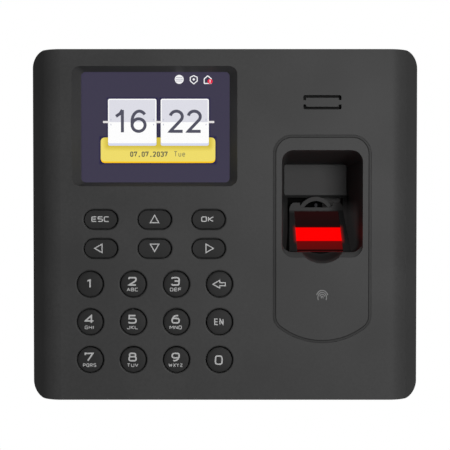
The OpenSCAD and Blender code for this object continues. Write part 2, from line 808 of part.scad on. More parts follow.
module sensor_backlight() {
  color("#B02020") {
    box(panel_x, prism_low - 0.8, prism_w - 1, 0.8, prism_front + 2, prism_front + 8);
    for (i = [-1:1]) box(panel_x + 5 * i, prism_low - 0.2, 2, 0.4, prism_front + 4, prism_front + 6);
  }
}
module sensor_housing() {
  top = frame_low;
  mid = (prism_front + frame_back) / 2 + 1;
  color(dark_grey) difference() {
    union() {
      box(panel_x, (top + housing_low) / 2, 23, top - housing_low, prism_front + 0.7, frame_back);
      for (at = SENSOR_POSTS) {
        box(panel_x + at[0] * 0.85, at[1], 8, 5, sensor_post_depth + 0.2, sensor_post_depth + 2.2);
        rod([panel_x + at[0], at[1]], 2.5, sensor_post_depth, sensor_post_depth + 2.2);
      }
    }
    box(panel_x, (top + housing_low) / 2 + 2, 19.4, top - housing_low, prism_front + 2.4, frame_back - 1.6);
    translate([panel_x, mid - total_depth, housing_low - eps]) cylinder(4, 3.5, 3.5);
    for (at = SENSOR_POSTS)
      rod([panel_x + at[0], at[1]], 1.1, sensor_post_depth - eps, sensor_post_depth + 3);
  }
}
module sensor_lens() {
  mid = (prism_front + frame_back) / 2 + 1;
  color("#2A2A34") translate([panel_x, mid - total_depth, housing_low]) cylinder(6, 3.4, 3.4);
}
module sensor_board() {
  color(board_green) box(panel_x, housing_low - 0.7, 27, 1.4, prism_front - 1, frame_back + 1.5);
}
module sensor_cable() {
  low = housing_low - 1.4;
  t = 0.3;
  left = board_right - 5;
  right = panel_x - 8;
  color(gold) {
    along_x(right - 6, right) polygon([[board_depth - 3, low], [board_depth - 3, low - 3],
      [board_depth - 3 + t, low - 3], [board_depth - 3 + t, low]]);
    slab(board_depth - 3, board_depth - 3 + t) translate([left, low - 3 - 6]) square([right - left, 6]);
    slab(board_depth - 3, board_depth) translate([left, low - 9]) square([t, 6]);
  }
}

module usb_port() {
  top = -half_h + wall + usb_len;
  color(steel) difference() {
    box(usb_x, (top - half_h + wall) / 2, usb_w, usb_len, usb_depth, usb_depth + usb_h);
    box(usb_x, (top - half_h) / 2 - 2, usb_w - 1, usb_len, usb_depth + 0.5, usb_depth + usb_h - 0.5);
  }
  color("#E8E8E8") box(usb_x, -half_h + wall + usb_len / 2 + 2, usb_w - 3, usb_len - 4,
    usb_depth + usb_h - 2, usb_depth + usb_h - 0.5);
}
module network_port() {
  color("#2B2B2B") difference() {
    box(net_x, jack_z, net_w, net_h, board_back, jack_back);
    box(net_x, jack_z - 0.5, 11.8, 7.4, board_back + 2, jack_back + eps);
    box(net_x, jack_z + 3.9, 4, 2.4, board_back + 2, jack_back + eps);
  }
}
module power_jack() {
  color("#202020") difference() {
    box(dc_x, jack_z, dc_w, dc_h, board_back, jack_back);
    rod([dc_x, jack_z], 3.2, board_back + 2, jack_back + eps);
  }
  color(steel) rod([dc_x, jack_z], 1, board_back + 1.5, jack_back - 1);
}

module screw(at, r, head_r, head_t, from, to, head_first) {
  rod(at, r, from, to);
  rod(at, head_r, head_first ? from - head_t : to, head_first ? from : to + head_t);
}
module cover_screws() {
  color(steel) for (at = COVER_POSTS)
    screw(at, screw_r, screw_head_r, 0.9, floor_front - 8, back_depth - 1.2, false);
}
module board_screws() {
  color(steel) for (at = BOARD_POSTS) screw(at, 1, 2.2, 1.2, board_depth, board_back + 6, true);
}
module key_board_screws() {
  back = key_board_depth + key_board_t;
  color(steel) for (at = KEY_POSTS) screw(at, 0.8, 1.7, 0.9, back - 4.6, back, false);
}
module sensor_screws() {
  color(steel) for (at = SENSOR_POSTS) screw([panel_x + at[0], at[1]], 0.9, 1.9, 1,
    sensor_post_depth - 3, sensor_post_depth + 2.2, false);
}
module rating_label() {
  color("#B8B8B4") slab(back_depth, back_depth + 0.12)
    translate([(half_w + plate_w / 2) / 2, 10]) rounded(26, 44, 1);
}

mounting_plate();
lock_screw();
front_shell();
rear_cover();
lcd_window();
lcd_gasket();
lcd_panel();
lcd_frame();
lcd_ribbon();
keypad_mat();
key_board();
key_esc();
key_up();
key_ok();
key_left();
key_down();
key_right();
key_1();
key_2();
key_3();
key_back();
key_4();
key_5();
key_6();
key_en();
key_7();
key_8();
key_9();
key_0();
main_board();
main_chips();
cell_holder();
backup_cell();
speaker_mesh();
speaker_frame();
speaker_cone();
speaker_magnet();
speaker_wires();
fingerprint_bezel();
bay_pad();
sensor_frame();
sensor_prism();
finger_detector();
sensor_backlight();
sensor_housing();
sensor_lens();
sensor_board();
sensor_cable();
usb_port();
network_port();
power_jack();
cover_screws();
board_screws();
key_board_screws();
sensor_screws();
rating_label();
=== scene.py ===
# %% [markdown]
# # A wall-mounted fingerprint terminal
# The mechanical model comes first and is never changed here: every shell, key, board and screw is
# loaded as a fixed frame, in metres. This script dresses it. It gives each part the finish of its
# real material, softens the moulded edges, prints the key legends, draws the picture on the screen
# and lights the finger sensor.

# %% Load the frame
import json
import math

import bmesh
import bpy
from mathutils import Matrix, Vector
from mathutils.bvhtree import BVHTree


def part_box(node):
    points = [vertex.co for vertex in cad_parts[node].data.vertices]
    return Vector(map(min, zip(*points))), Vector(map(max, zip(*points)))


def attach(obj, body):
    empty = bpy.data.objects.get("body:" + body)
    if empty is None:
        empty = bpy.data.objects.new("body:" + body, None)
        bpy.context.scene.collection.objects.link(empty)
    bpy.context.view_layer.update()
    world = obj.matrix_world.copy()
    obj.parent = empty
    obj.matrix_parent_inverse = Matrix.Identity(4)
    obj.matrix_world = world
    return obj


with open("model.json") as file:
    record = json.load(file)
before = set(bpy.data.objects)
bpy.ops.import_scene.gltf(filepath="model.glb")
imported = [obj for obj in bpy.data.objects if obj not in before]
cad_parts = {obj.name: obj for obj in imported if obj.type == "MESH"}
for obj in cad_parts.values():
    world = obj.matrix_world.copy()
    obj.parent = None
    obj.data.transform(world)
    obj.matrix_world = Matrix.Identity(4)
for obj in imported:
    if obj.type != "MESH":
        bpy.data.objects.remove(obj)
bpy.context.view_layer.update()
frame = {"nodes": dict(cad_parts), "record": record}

parts = frame["nodes"]

# %% [markdown]
# ## Units and places
# Everything is worked out from the boxes of the CAD parts, so nothing needs fitting afterwards. The
# front face looks along -Y: a piece that lies on it is moved a little towards -Y. X runs right and Z
# up, so a flat drawing uses X and Z.

# %% Units and places
MM = 0.001
front_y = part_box("front_shell")[0].y
screen = (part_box("lcd_window")[0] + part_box("lcd_window")[1]) / 2
glass_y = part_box("lcd_panel")[0].y
prism_low, prism_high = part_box("sensor_prism")
panel_low, panel_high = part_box("fingerprint_bezel")
print("front face at y =", round(front_y / MM, 2), "mm")
print("middle of the screen, mm:", [round(v / MM, 2) for v in screen])

# %% [markdown]
# ## Camera
# The terminal is seen straight from the front, a touch from above, from about 35 cm. "Standard"
# leaves the colours as they are set, where a film look would soften them.

# %% Camera
view_distance = 0.35
view_tilt = math.radians(1)
camera = bpy.data.objects.new("camera", bpy.data.cameras.new("camera"))
camera.data.lens = 72.5
camera.data.sensor_width = 36
camera.location = (0, front_y - view_distance * math.cos(view_tilt), view_distance * math.sin(view_tilt))
camera.rotation_euler = (math.radians(90) - view_tilt, 0, 0)
bpy.context.collection.objects.link(camera)
bpy.context.scene.camera = camera
bpy.context.scene.view_settings.view_transform = "Standard"
print("camera", round(view_distance / MM), "mm from the face")

# %% [markdown]
# ## Soft boxes
# One soft box stands beside the camera, a little to the right and above. A dark plastic face shows
# mostly what a soft box gives it, so its size and place decide how the face looks. Two dimmer ones
# behind light the back and sides for the other views, and can't reach the front. The room adds a
# faint light that is the same from everywhere.

# %% Lights
def soft_box(name, place, width, watts):
    """A round lamp at this place that points at the middle of the object."""
    light = bpy.data.lights.new(name, "AREA")
    light.shape = "DISK"
    light.size = width
    light.energy = watts
    lamp = bpy.data.objects.new(name, light)
    lamp.location = place
    lamp.rotation_euler = (-Vector(place)).to_track_quat("-Z", "Y").to_euler()
    bpy.context.collection.objects.link(lamp)


soft_box("key_light", (0.19, -0.6, 0.05), 0.3, 2.35)
for name, side in (("back_light_left", -1), ("back_light_right", 1)):
    soft_box(name, (side * 0.7, 1.1, 0.5), 0.6, 7)

world = bpy.data.worlds.new("studio")
bpy.context.scene.world = world
world.use_nodes = True
room_light = world.node_tree.nodes["Background"]
room_light.inputs["Color"].default_value = (1, 1, 1, 1)
room_light.inputs["Strength"].default_value = 0.12

# %% [markdown]
# ## Nodes from one function
# A procedural material is a small graph: a coordinate, some patterns, and a shader that they steer.
# `linear` turns the sRGB hex value that a colour picker shows into the linear value that a renderer
# adds up light in. `add` puts one node of any kind in the graph with its settings, links any input
# that is given another node's output, and sets the stops of a colour ramp.

# %% Colour and node helpers
def linear(hex_colour):
    channels = [int(hex_colour[i:i + 2], 16) / 255 for i in (1, 3, 5)]
    return [c / 12.92 if c <= 0.04045 else ((c + 0.055) / 1.055) ** 2.4 for c in channels] + [1]


def add(tree, kind, inputs=None, stops=(), **settings):
    """A node; inputs are values or outputs, and a ramp's stops are (position, colour)."""
    node = tree.nodes.new(kind)
    for name, value in settings.items():
        setattr(node, name, value)
    for name, value in (inputs or {}).items():
        if isinstance(value, bpy.types.NodeSocket):
            tree.links.new(value, node.inputs[name])
        else:
            node.inputs[name].default_value = value
    while stops and len(node.color_ramp.elements) < len(stops):
        node.color_ramp.elements.new(0.5)
    for element, (position, colour) in zip(node.color_ramp.elements if stops else (), stops):
        element.position = position
        element.color = linear(colour)
    return node


def empty_material(name):
    material = bpy.data.materials.new(name)
    material.use_nodes = True
    material.node_tree.nodes.clear()
    return material, material.node_tree


print("mid grey in linear light:", round(linear("#808080")[0], 3))

# %% [markdown]
# ## A white studio
# A dome and a floor of white paper stand for the studio. They are seen, but their rays are switched
# off for light and reflections, so they don't change how the object looks.

# %% Dome and floor
def new_piece(name, shape, material):
    mesh = bpy.data.meshes.new(name)
    shape.to_mesh(mesh)
    shape.free()
    mesh.materials.append(material)
    piece = bpy.data.objects.new(name, mesh)
    bpy.context.collection.objects.link(piece)
    return piece


def stage_piece(name, fill):
    shape = bmesh.new()
    fill(shape)
    piece = new_piece(name, shape, paper_white)
    piece.visible_diffuse = piece.visible_glossy = piece.visible_shadow = False
    piece.visible_transmission = False
    return piece


DOME_RADIUS, FLOOR_RADIUS, FLOOR_Z = 4, 3.6, -0.5
paper_white, tree = empty_material("white_studio_paper")
paper_glow = add(tree, "ShaderNodeEmission").outputs["Emission"]
add(tree, "ShaderNodeOutputMaterial", {"Surface": paper_glow})
dome = stage_piece("dome", lambda shape: bmesh.ops.create_uvsphere(
    shape, u_segments=48, v_segments=24, radius=DOME_RADIUS))
floor = stage_piece("floor", lambda shape: bmesh.ops.create_circle(
    shape, cap_ends=True, segments=48, radius=FLOOR_RADIUS))
floor.location.z = FLOOR_Z
print("stage:", dome.name, floor.name)

# %% [markdown]
# ## A finish in a few lines
# `new_material` starts a graph with a Principled shader and the part's own coordinates, in metres,
# so a pattern's scale is one over its real size. Every finish then varies in the same three ways,
# and `steer` does them: a pattern moves the colour between two close tones, another moves the
# roughness, and another tilts the surface in small dents.

# %% From patterns to a finish
NOISE_SPAN = (0.35, 0.65)  # most values of a noise lie between these


def new_material(name, inputs=None):
    material, tree = empty_material(name)
    place = add(tree, "ShaderNodeTexCoord").outputs["Object"]
    shader = add(tree, "ShaderNodeBsdfPrincipled", inputs)
    add(tree, "ShaderNodeOutputMaterial", {"Surface": shader.outputs["BSDF"]})
    return material, tree, shader, place


def steer(tree, shader, colour=None, roughness=None, dents=None):
    """colour and roughness are (pattern, low, high, from, to); dents are (pattern, depth in mm)."""
    if colour:
        pattern, low, high, start, end = colour
        tones = add(tree, "ShaderNodeValToRGB", {"Fac": pattern}, stops=((start, low), (end, high)))
        tree.links.new(tones.outputs["Color"], shader.inputs["Base Color"])
    if roughness:
        pattern, low, high, start, end = roughness
        sheen = add(tree, "ShaderNodeMapRange", {
            "Value": pattern, "From Min": start, "From Max": end, "To Min": low, "To Max": high})
        tree.links.new(sheen.outputs["Result"], shader.inputs["Roughness"])
    if dents:
        pattern, depth_mm = dents
        relief = add(tree, "ShaderNodeBump", {"Height": pattern, "Distance": depth_mm * MM})
        tree.links.new(relief.outputs["Normal"], shader.inputs["Normal"])


print("a finish varies in colour, roughness and dents")

# %% [markdown]
# ## Moulded ABS
# The case and keys are injection-moulded. The steel mould is spark-eroded, which leaves a fine random
# grain about a third of a millimetre across, so the plastic scatters light softly and never shows a
# sharp reflection. Three noises do it: the finest tilts the surface, a speckle makes the sheen
# patchy, and a broad one lets the colour drift, as it does on every large moulding.

# %% Moulded plastics
SPECKLE_MM, DRIFT_MM = 1.1, 30


def moulded(name, low, high, grain_mm=0.34, depth_mm=0.003, rough=(0.5, 0.56), shine=0.3):
    material, tree, shader, place = new_material(name, {"IOR": 1.53, "Specular IOR Level": shine})
    fine, speckle, drift = [add(tree, "ShaderNodeTexNoise", {
        "Vector": place, "Scale": 1 / (size_mm * MM), "Detail": detail, "Roughness": roughness
    }).outputs["Fac"] for size_mm, detail, roughness in (
        (grain_mm, 3, 0.5), (SPECKLE_MM, 4, 0.65), (DRIFT_MM, 2, 0.5))]
    blend = add(tree, "ShaderNodeMath", {0: speckle, 1: drift}, operation="MULTIPLY").outputs[0]
    steer(tree, shader, (blend, low, high, 0.15, 0.35), (speckle, *rough, *NOISE_SPAN), (fine, depth_mm))
    return material


finishes = {
    # charcoal ABS with an eroded texture: even, soft, a faint sheen towards the light
    "shell_plastic": moulded("moulded_abs_charcoal", "#404040", "#464646", shine=0.16),
    # keys of the same resin, darker and rougher, so they read as separate pieces
    "key_plastic": moulded("moulded_abs_key", "#313131", "#353535", 0.25, 0.002, (0.56, 0.62), 0.12),
    # the bay's back wall, with a coarser grain
    "pad_plastic": moulded("moulded_abs_pad", "#313131", "#363636", 0.5, shine=0.17),
    # carriers, sockets and other small parts, nearly black
    "black_plastic": moulded("moulded_abs_black", "#222222", "#262626", 0.3, 0.003, (0.46, 0.52)),
    # the sensor's frame: smoother, but with hardly any sheen
    "frame_plastic": moulded("moulded_abs_frame", "#363636", "#3b3b3b", 0.3, 0.003, (0.46, 0.52), 0.08),
    # epoxy pressed round a chip: grey-black, dry and slightly rough
    "chip_resin": moulded("moulded_epoxy_resin", "#17181a", "#222428", 0.2, 0.01, (0.5, 0.65)),
    # smoke-tinted lamp resin: nearly black and smooth
    "tinted_resin": moulded("moulded_tinted_resin", "#1a1a1d", "#202024", 0.2, 0.001, (0.4, 0.44), 0.06),
}
print("plastics:", list(finishes))

# %% [markdown]
# ## Painted shade round the sensor
# Round the glass and at the back of the bay, shade is painted into the plastic's colour, darker
# where the bay keeps the lamps out. It is laid as soft zones. A zone is a strength and a list of
# limits, each with a place, where the shade starts there and where it is full. `strongest` turns the
# zones into one mask, and one function mixes the shade's colour in with it and takes the sheen away.

# %% Zones of painted shade
def axes_of(tree):
    place = add(tree, "ShaderNodeTexCoord").outputs["Object"]
    return add(tree, "ShaderNodeSeparateXYZ", {"Vector": place}).outputs


def strongest(tree, zones):
    """How strong the painted mark is: zones are (strength, [(place, where it starts, where it is
    full)]).
    """
    mask = 0.0
    for amount, limits in zones:
        for place, start, full in limits:
            rise = add(tree, "ShaderNodeMapRange", {
                "Value": place, "From Min": start, "From Max": full}).outputs["Result"]
            amount = add(tree, "ShaderNodeMath", {0: rise, 1: amount}, operation="MULTIPLY").outputs[0]
        mask = add(tree, "ShaderNodeMath", {0: amount, 1: mask}, operation="MAXIMUM").outputs[0]
    return mask


def with_painted_shade(name, like, shade_colour, zones_of):
    material = like.copy()
    material.name = name
    tree = material.node_tree
    shader = next(node for node in tree.nodes if node.type == "BSDF_PRINCIPLED")
    bare = shader.inputs["Base Color"].links[0].from_socket
    shine = shader.inputs["Specular IOR Level"].default_value
    # the mask says where shade is painted: its dark colour is mixed in and the sheen taken away
    mask = strongest(tree, zones_of(tree))
    mix = add(tree, "ShaderNodeMix", {0: mask, 6: bare, 7: linear(shade_colour)}, data_type="RGBA")
    tree.links.new(mix.outputs[2], shader.inputs["Base Color"])
    shaded_sheen = add(tree, "ShaderNodeMapRange", {"Value": mask, "To Min": shine, "To Max": 0.0})
    tree.links.new(shaded_sheen.outputs["Result"], shader.inputs["Specular IOR Level"])
    return material, tree, shader


def paint_glow(tree, shader, amount, colour):
    """A painted glow: faint emission where the amount is high, standing in for light that leaks or
    bounces there.
    """
    spill = add(tree, "ShaderNodeValToRGB", {"Fac": amount}, stops=((0, "#000000"), (1, colour)))
    tree.links.new(spill.outputs["Color"], shader.inputs["Emission Color"])
    shader.inputs["Emission Strength"].default_value = 1.0


# the coats named here are painted shade and painted glow
print("coats are ready to be laid")

# %% [markdown]
# ## The panel and the cover behind it
# On the panel the painted shade is thin on the bay's walls and full below the pale pad. The fine
# line round the panel gets painted shade too: its floor is the only flat face that lies just under the
# front, so the way it faces finds it. The rear cover gets painted shade only on the inner wall that
# shows through the bay.

# %% Painted shade on the panel and the cover
pad_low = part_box("bay_pad")[0]


def panel_zones(tree):
    y, z = axes_of(tree)["Y"], axes_of(tree)["Z"]
    facing = add(tree, "ShaderNodeSeparateXYZ", {
        "Vector": add(tree, "ShaderNodeNewGeometry").outputs["True Normal"]}).outputs["Y"]
    front, under_pad, under_prism = panel_low.y, pad_low.z, prism_low.z
    return [
        # painted shade on the bay's walls
        (0.4, [(y, front + 1 * MM, front + 6 * MM)]),
        # painted shade below the pad, towards the back
        (1.0, [(z, under_pad + 0.1 * MM, under_pad - 0.3 * MM),
               (y, pad_low.y - 8 * MM, pad_low.y - 1 * MM)]),
        # painted shade on the floor of the fine line
        (0.85, [(facing, -0.985, -0.995), (y, front + 0.08 * MM, front + 0.16 * MM)]),
        # painted shade below the prism
        (0.75, [(z, under_prism + 0.1 * MM, under_prism - 0.4 * MM),
                (y, front + 0.9 * MM, front + 2.6 * MM)])]


# painted shade on the cover's inner wall that shows through the bay
def cover_zones(tree):
    place = axes_of(tree)
    limits = [(place["Y"], -4.2 * MM, -4.5 * MM)]
    for axis, low, high in (("X", panel_low.x, panel_high.x), ("Z", panel_low.z, panel_high.z)):
        limits += [(place[axis], low - 1 * MM, low), (place[axis], high + 1 * MM, high)]
    return [(1.0, limits)]


# the panel with its painted shade, mixed towards a near-black
panel_abs, tree, shader = with_painted_shade(
    "moulded_abs_painted_shade_bay", finishes["shell_plastic"], "#212121", panel_zones)
# painted bounce light: a faint glow keeps the narrow gaps beside the frame from going black
place = axes_of(tree)
gaps = [(1.0, [(place["Y"], panel_low.y + 5 * MM, panel_low.y + 12 * MM),
               (place["Z"], pad_low.z - 2 * MM, pad_low.z - 8 * MM)])]
paint_glow(tree, shader, strongest(tree, gaps), "#1a1919")
# the cover with its painted shade, nearly black
cover_abs = with_painted_shade("moulded_abs_painted_shade_inside", finishes["shell_plastic"], "#0c0c0c", cover_zones)[0]
print("coated:", panel_abs.name, cover_abs.name)

# %% [markdown]
# ## Zinc, steel and circuit board
# The wall plate and screen tray are zinc-plated sheet. Zinc freezes in faint crystals, the spangle,
# and a Voronoi pattern gives each crystal its own brightness and roughness. Screws and the socket
# shell are bright steel with a much finer pattern. A circuit board is glass cloth under a green
# solder mask: thin lines of copper show paler through it, and the cloth's weave ripples its gloss.

# %% Metals and board
def plated_steel(name, low, high, spangle_mm, rough):
    material, tree, shader, place = new_material(name, {"Metallic": 1.0})
    crystals = add(tree, "ShaderNodeTexVoronoi", {"Vector": place, "Scale": 1 / (spangle_mm * MM)})
    tones = add(tree, "ShaderNodeSeparateColor", {"Color": crystals.outputs["Color"]}).outputs
    ripple = add(tree, "ShaderNodeTexNoise", {
        "Vector": place, "Scale": 1 / (0.6 * MM), "Detail": 4}).outputs["Fac"]
    steer(tree, shader, (tones["Red"], low, high, 0, 1), (tones["Green"], *rough, 0, 1), (ripple, 0.003))
    return material


def solder_mask(name, track_mm, weave_mm):
    material, tree, shader, place = new_material(name, {
        "IOR": 1.5, "Coat Weight": 0.4, "Coat Roughness": 0.15})
    tracks = add(tree, "ShaderNodeTexBrick", {
        "Vector": add(tree, "ShaderNodeMapping", {
            "Vector": place, "Rotation": (math.radians(90), 0, 0)}).outputs["Vector"],
        "Scale": 1 / (track_mm * MM), "Mortar Size": 0.03, "Color1": linear("#10492d"),
        "Color2": linear("#0d3f27"), "Mortar": linear("#2f7a4e")})
    tree.links.new(tracks.outputs["Color"], shader.inputs["Base Color"])
    weave = add(tree, "ShaderNodeTexWave", {
        "Vector": place, "Scale": 1 / (weave_mm * 20 * MM), "Distortion": 1.5}).outputs["Fac"]
    steer(tree, shader, roughness=(weave, 0.3, 0.42, 0, 1), dents=(weave, 0.01))
    return material


finishes["zinc_steel"] = plated_steel("zinc_plated_sheet", "#868a8d", "#93979a", 1.6, (0.4, 0.48))
finishes["screw_steel"] = plated_steel("bright_drawn_steel", "#9a9c9e", "#b6b8ba", 0.8, (0.22, 0.34))
finishes["circuit_board"] = solder_mask("solder_mask_green", track_mm=4, weave_mm=0.5)
print("metals and board added:", len(finishes))

# %% [markdown]
# ## Soft and thin materials
# Silicone under the keys, foam round the screen, polyimide ribbon, the paper of the speaker cone, the
# wire jackets and the printed label differ in grain size, in how deep the grain is and in how
# shiny they are. One recipe with those values makes all of them.

# %% Soft and thin materials
def grainy(name, low, high, grain_mm, depth_mm, rough, index=1.45):
    material, tree, shader, place = new_material(name, {"IOR": index})
    pattern = add(tree, "ShaderNodeTexNoise", {
        "Vector": place, "Scale": 1 / (grain_mm * MM), "Detail": 4, "Roughness": 0.6}).outputs["Fac"]
    steer(tree, shader, (pattern, low, high, *NOISE_SPAN), (pattern, *rough, *NOISE_SPAN),
          (pattern, depth_mm))
    return material


finishes.update({
    "silicone": grainy("cast_silicone", "#262624", "#2e2e2c", 1.5, 0.02, (0.5, 0.62), 1.41),
    "foam": grainy("open_cell_foam", "#0a0a0a", "#161616", 0.5, 0.2, (0.85, 0.98)),
    "flex_film": grainy("rolled_polyimide_film", "#8f6a22", "#a57c2c", 3, 0.01, (0.2, 0.3), 1.7),
    "paper_cone": grainy("pressed_paper", "#18181a", "#232326", 0.6, 0.08, (0.8, 0.95)),
    "wire_jacket": grainy("extruded_pvc_red", "#6a0f10", "#7c1516", 1, 0.01, (0.35, 0.45), 1.54),
    "label_film": grainy("printed_polyester_film", "#b0b0aa", "#bcbcb6", 2, 0.005, (0.3, 0.4), 1.6),
    # clear and red epoxy of small lamps and detectors: smooth, with a shallow ripple
    "detector_lens": grainy("moulded_clear_epoxy", "#585856", "#6a6a68", 0.4, 0.01, (0.1, 0.18), 1.55),
    "red_led": grainy("moulded_red_epoxy", "#b01010", "#d01818", 0.6, 0.01, (0.15, 0.25), 1.55),
})
print("soft materials added:", len(finishes))

# %% [markdown]
# ## Glass
# The screen window is thin clear glass, so nearly all light goes straight through: a transparent
# shader, with gloss mixed in by the fifth-power rule that a glass surface follows, so it grows
# towards grazing angles and doesn't turn dark inside the sheet.

# %% Clear glass
def clear_glass(name, tint, index, rough):
    material, tree = empty_material(name)
    place = add(tree, "ShaderNodeTexCoord").outputs["Object"]
    ripple = add(tree, "ShaderNodeTexNoise", {"Vector": place, "Scale": 1 / (12 * MM)}).outputs["Fac"]
    relief = add(tree, "ShaderNodeBump", {"Height": ripple, "Distance": 0.004 * MM}).outputs["Normal"]
    clear = add(tree, "ShaderNodeBsdfTransparent", {"Color": linear(tint)})
    gloss = add(tree, "ShaderNodeBsdfGlossy", {"Roughness": rough, "Normal": relief})
    facing = add(tree, "ShaderNodeLayerWeight", {"Blend": 0.5}).outputs["Facing"]
    glance = add(tree, "ShaderNodeMath", {0: facing, 1: 5.0}, operation="POWER").outputs[0]
    head_on = ((index - 1) / (index + 1)) ** 2
    share = add(tree, "ShaderNodeMapRange", {"Value": glance, "To Min": head_on}).outputs["Result"]
    mix = add(tree, "ShaderNodeMixShader", {
        0: share, 1: clear.outputs["BSDF"], 2: gloss.outputs["BSDF"]})
    add(tree, "ShaderNodeOutputMaterial", {"Surface": mix.outputs["Shader"]})
    return material


finishes["window_glass"] = clear_glass("float_glass_window", "#ffffff", 1.5, 0.03)
finishes["lens_glass"] = clear_glass("ground_lens_glass", "#a8a8c8", 1.52, 0.02)
print("glasses added:", len(finishes))

# %% [markdown]
# ## The lit prism
# A finger sensor looks up through a glass wedge, and red diodes light it from inside. Total
# reflection keeps the upper part of the slope nearly black, the middle mirrors the light guide
# straight at the eye, and the lowest part shows the guide's dimmer edge. A ramp along the height of
# the glass paints those bands as emission, a painted reflection of the lit guide, so the brightest
# one also spills onto the black frame.

# %% Prism glass with its bands of light
BAND_TOP, BAND_LOW = 0.42, 0.735  # the brightest band, as shares of the height from the top
PRISM_BANDS = [
    # share of the height from the top, colour
    (0.0, "#200b0b"), (0.36, "#160b0b"), (0.405, "#320404"), (BAND_TOP, "#ff0000"),
    (BAND_LOW, "#ff0000"), (0.75, "#6a0808"), (0.94, "#5a0a0a"), (0.955, "#140404"),
    (0.985, "#140404"), (1.0, "#6a0a0a")]


def lit_prism(name):
    material, tree, shader, place = new_material(name, {
        "Base Color": linear("#120304"), "IOR": 1.52, "Emission Strength": 1.0})
    height = add(tree, "ShaderNodeSeparateXYZ", {"Vector": place}).outputs["Z"]
    share = add(tree, "ShaderNodeMapRange", {
        "Value": height, "From Min": prism_high.z, "From Max": prism_low.z}).outputs["Result"]
    bands = add(tree, "ShaderNodeValToRGB", {"Fac": share}, stops=PRISM_BANDS)
    tree.links.new(bands.outputs["Color"], shader.inputs["Emission Color"])
    smear = add(tree, "ShaderNodeTexNoise", {
        "Vector": place, "Scale": 1 / (2.5 * MM), "Detail": 4}).outputs["Fac"]
    steer(tree, shader, roughness=(smear, 0.12, 0.2, *NOISE_SPAN))
    return material


finishes["prism_glass"] = lit_prism("optical_glass_lit_red")
print("prism from z", round(prism_low.z / MM, 2), "to", round(prism_high.z / MM, 2), "mm")

# %% [markdown]
# ## The frame round the prism
# The frame is black ABS. A painted red glow lies on its edges within a millimetre or two of the
# brightest band, standing in for light of the band that leaks into them. Distance from the band,
# worked out in the material, fades that glow. Its lowest lip lies in the shadow of the panel and
# gets painted shade, and so do the rails beside the glass and the frame's right side.

# %% Frame plastic with a painted red glow and painted shade
GLOW_REACH = 1.6 * MM
prism_x, prism_half = (prism_low.x + prism_high.x) / 2, (prism_high.x - prism_low.x) / 2
band_top, band_low = (prism_high.z - share * (prism_high.z - prism_low.z)
                      for share in (BAND_TOP, BAND_LOW))
band_z, band_half = (band_top + band_low) / 2, (band_top - band_low) / 2


def away_from_band(tree):
    """How far a place is from the middle of the band, along each axis."""
    place = add(tree, "ShaderNodeTexCoord").outputs["Object"]
    for operation in ("SUBTRACT", "ABSOLUTE"):
        place = add(tree, "ShaderNodeVectorMath", {
            0: place, 1: (prism_x, 0, band_z)}, operation=operation).outputs[0]
    return add(tree, "ShaderNodeSeparateXYZ", {"Vector": place}).outputs


def frame_zones(tree):
    x, z, aside = axes_of(tree)["X"], axes_of(tree)["Z"], away_from_band(tree)["X"]
    return [
        # painted shade on the lowest lip, in the panel's shadow
        (1.0, [(z, prism_low.z + 0.6 * MM, prism_low.z - 0.1 * MM)]),
        # painted shade on the rails beside the glass, below their top
        (0.5, [(aside, prism_half - 0.2 * MM, prism_half + 0.3 * MM),
               (z, prism_high.z - 0.3 * MM, prism_high.z - 0.8 * MM)]),
        # painted shade on the frame's right side
        (0.6, [(x, prism_x + 0.55 * prism_half, prism_x + prism_half)])]


frame_abs, tree, shader = with_painted_shade(
    "moulded_abs_painted_glow_and_shade", finishes["frame_plastic"], "#101010", frame_zones)
away = away_from_band(tree)
# painted red glow, fading with distance from the band
glow_amount = strongest(tree, [(1.0, [(away["X"], prism_half + GLOW_REACH, prism_half),
                               (away["Z"], band_half + GLOW_REACH, band_half)])])
fading = add(tree, "ShaderNodeMath", {0: glow_amount, 1: 2.0}, operation="POWER").outputs[0]
paint_glow(tree, shader, fading, "#8a0202")
print("band from z", round(band_low / MM, 2), "to", round(band_top / MM, 2), "mm")

# %% [markdown]
# ## Light from the screen
# The picture is not light falling on a surface but light coming out, so it uses emission, and the
# value of the colour is what the eye sees. The panel's background is a dusky violet. The cards in
# front of it cast soft painted shadows, as screen designers draw them, and these are part of the
# picture, not of the studio's light. The distance from a card's edge, worked out in the material,
# darkens the colour near it.

# %% Picture materials
SCREEN_GAIN = 1.07  # makes up for what the window's two faces reflect away
DOT_MM = 0.5


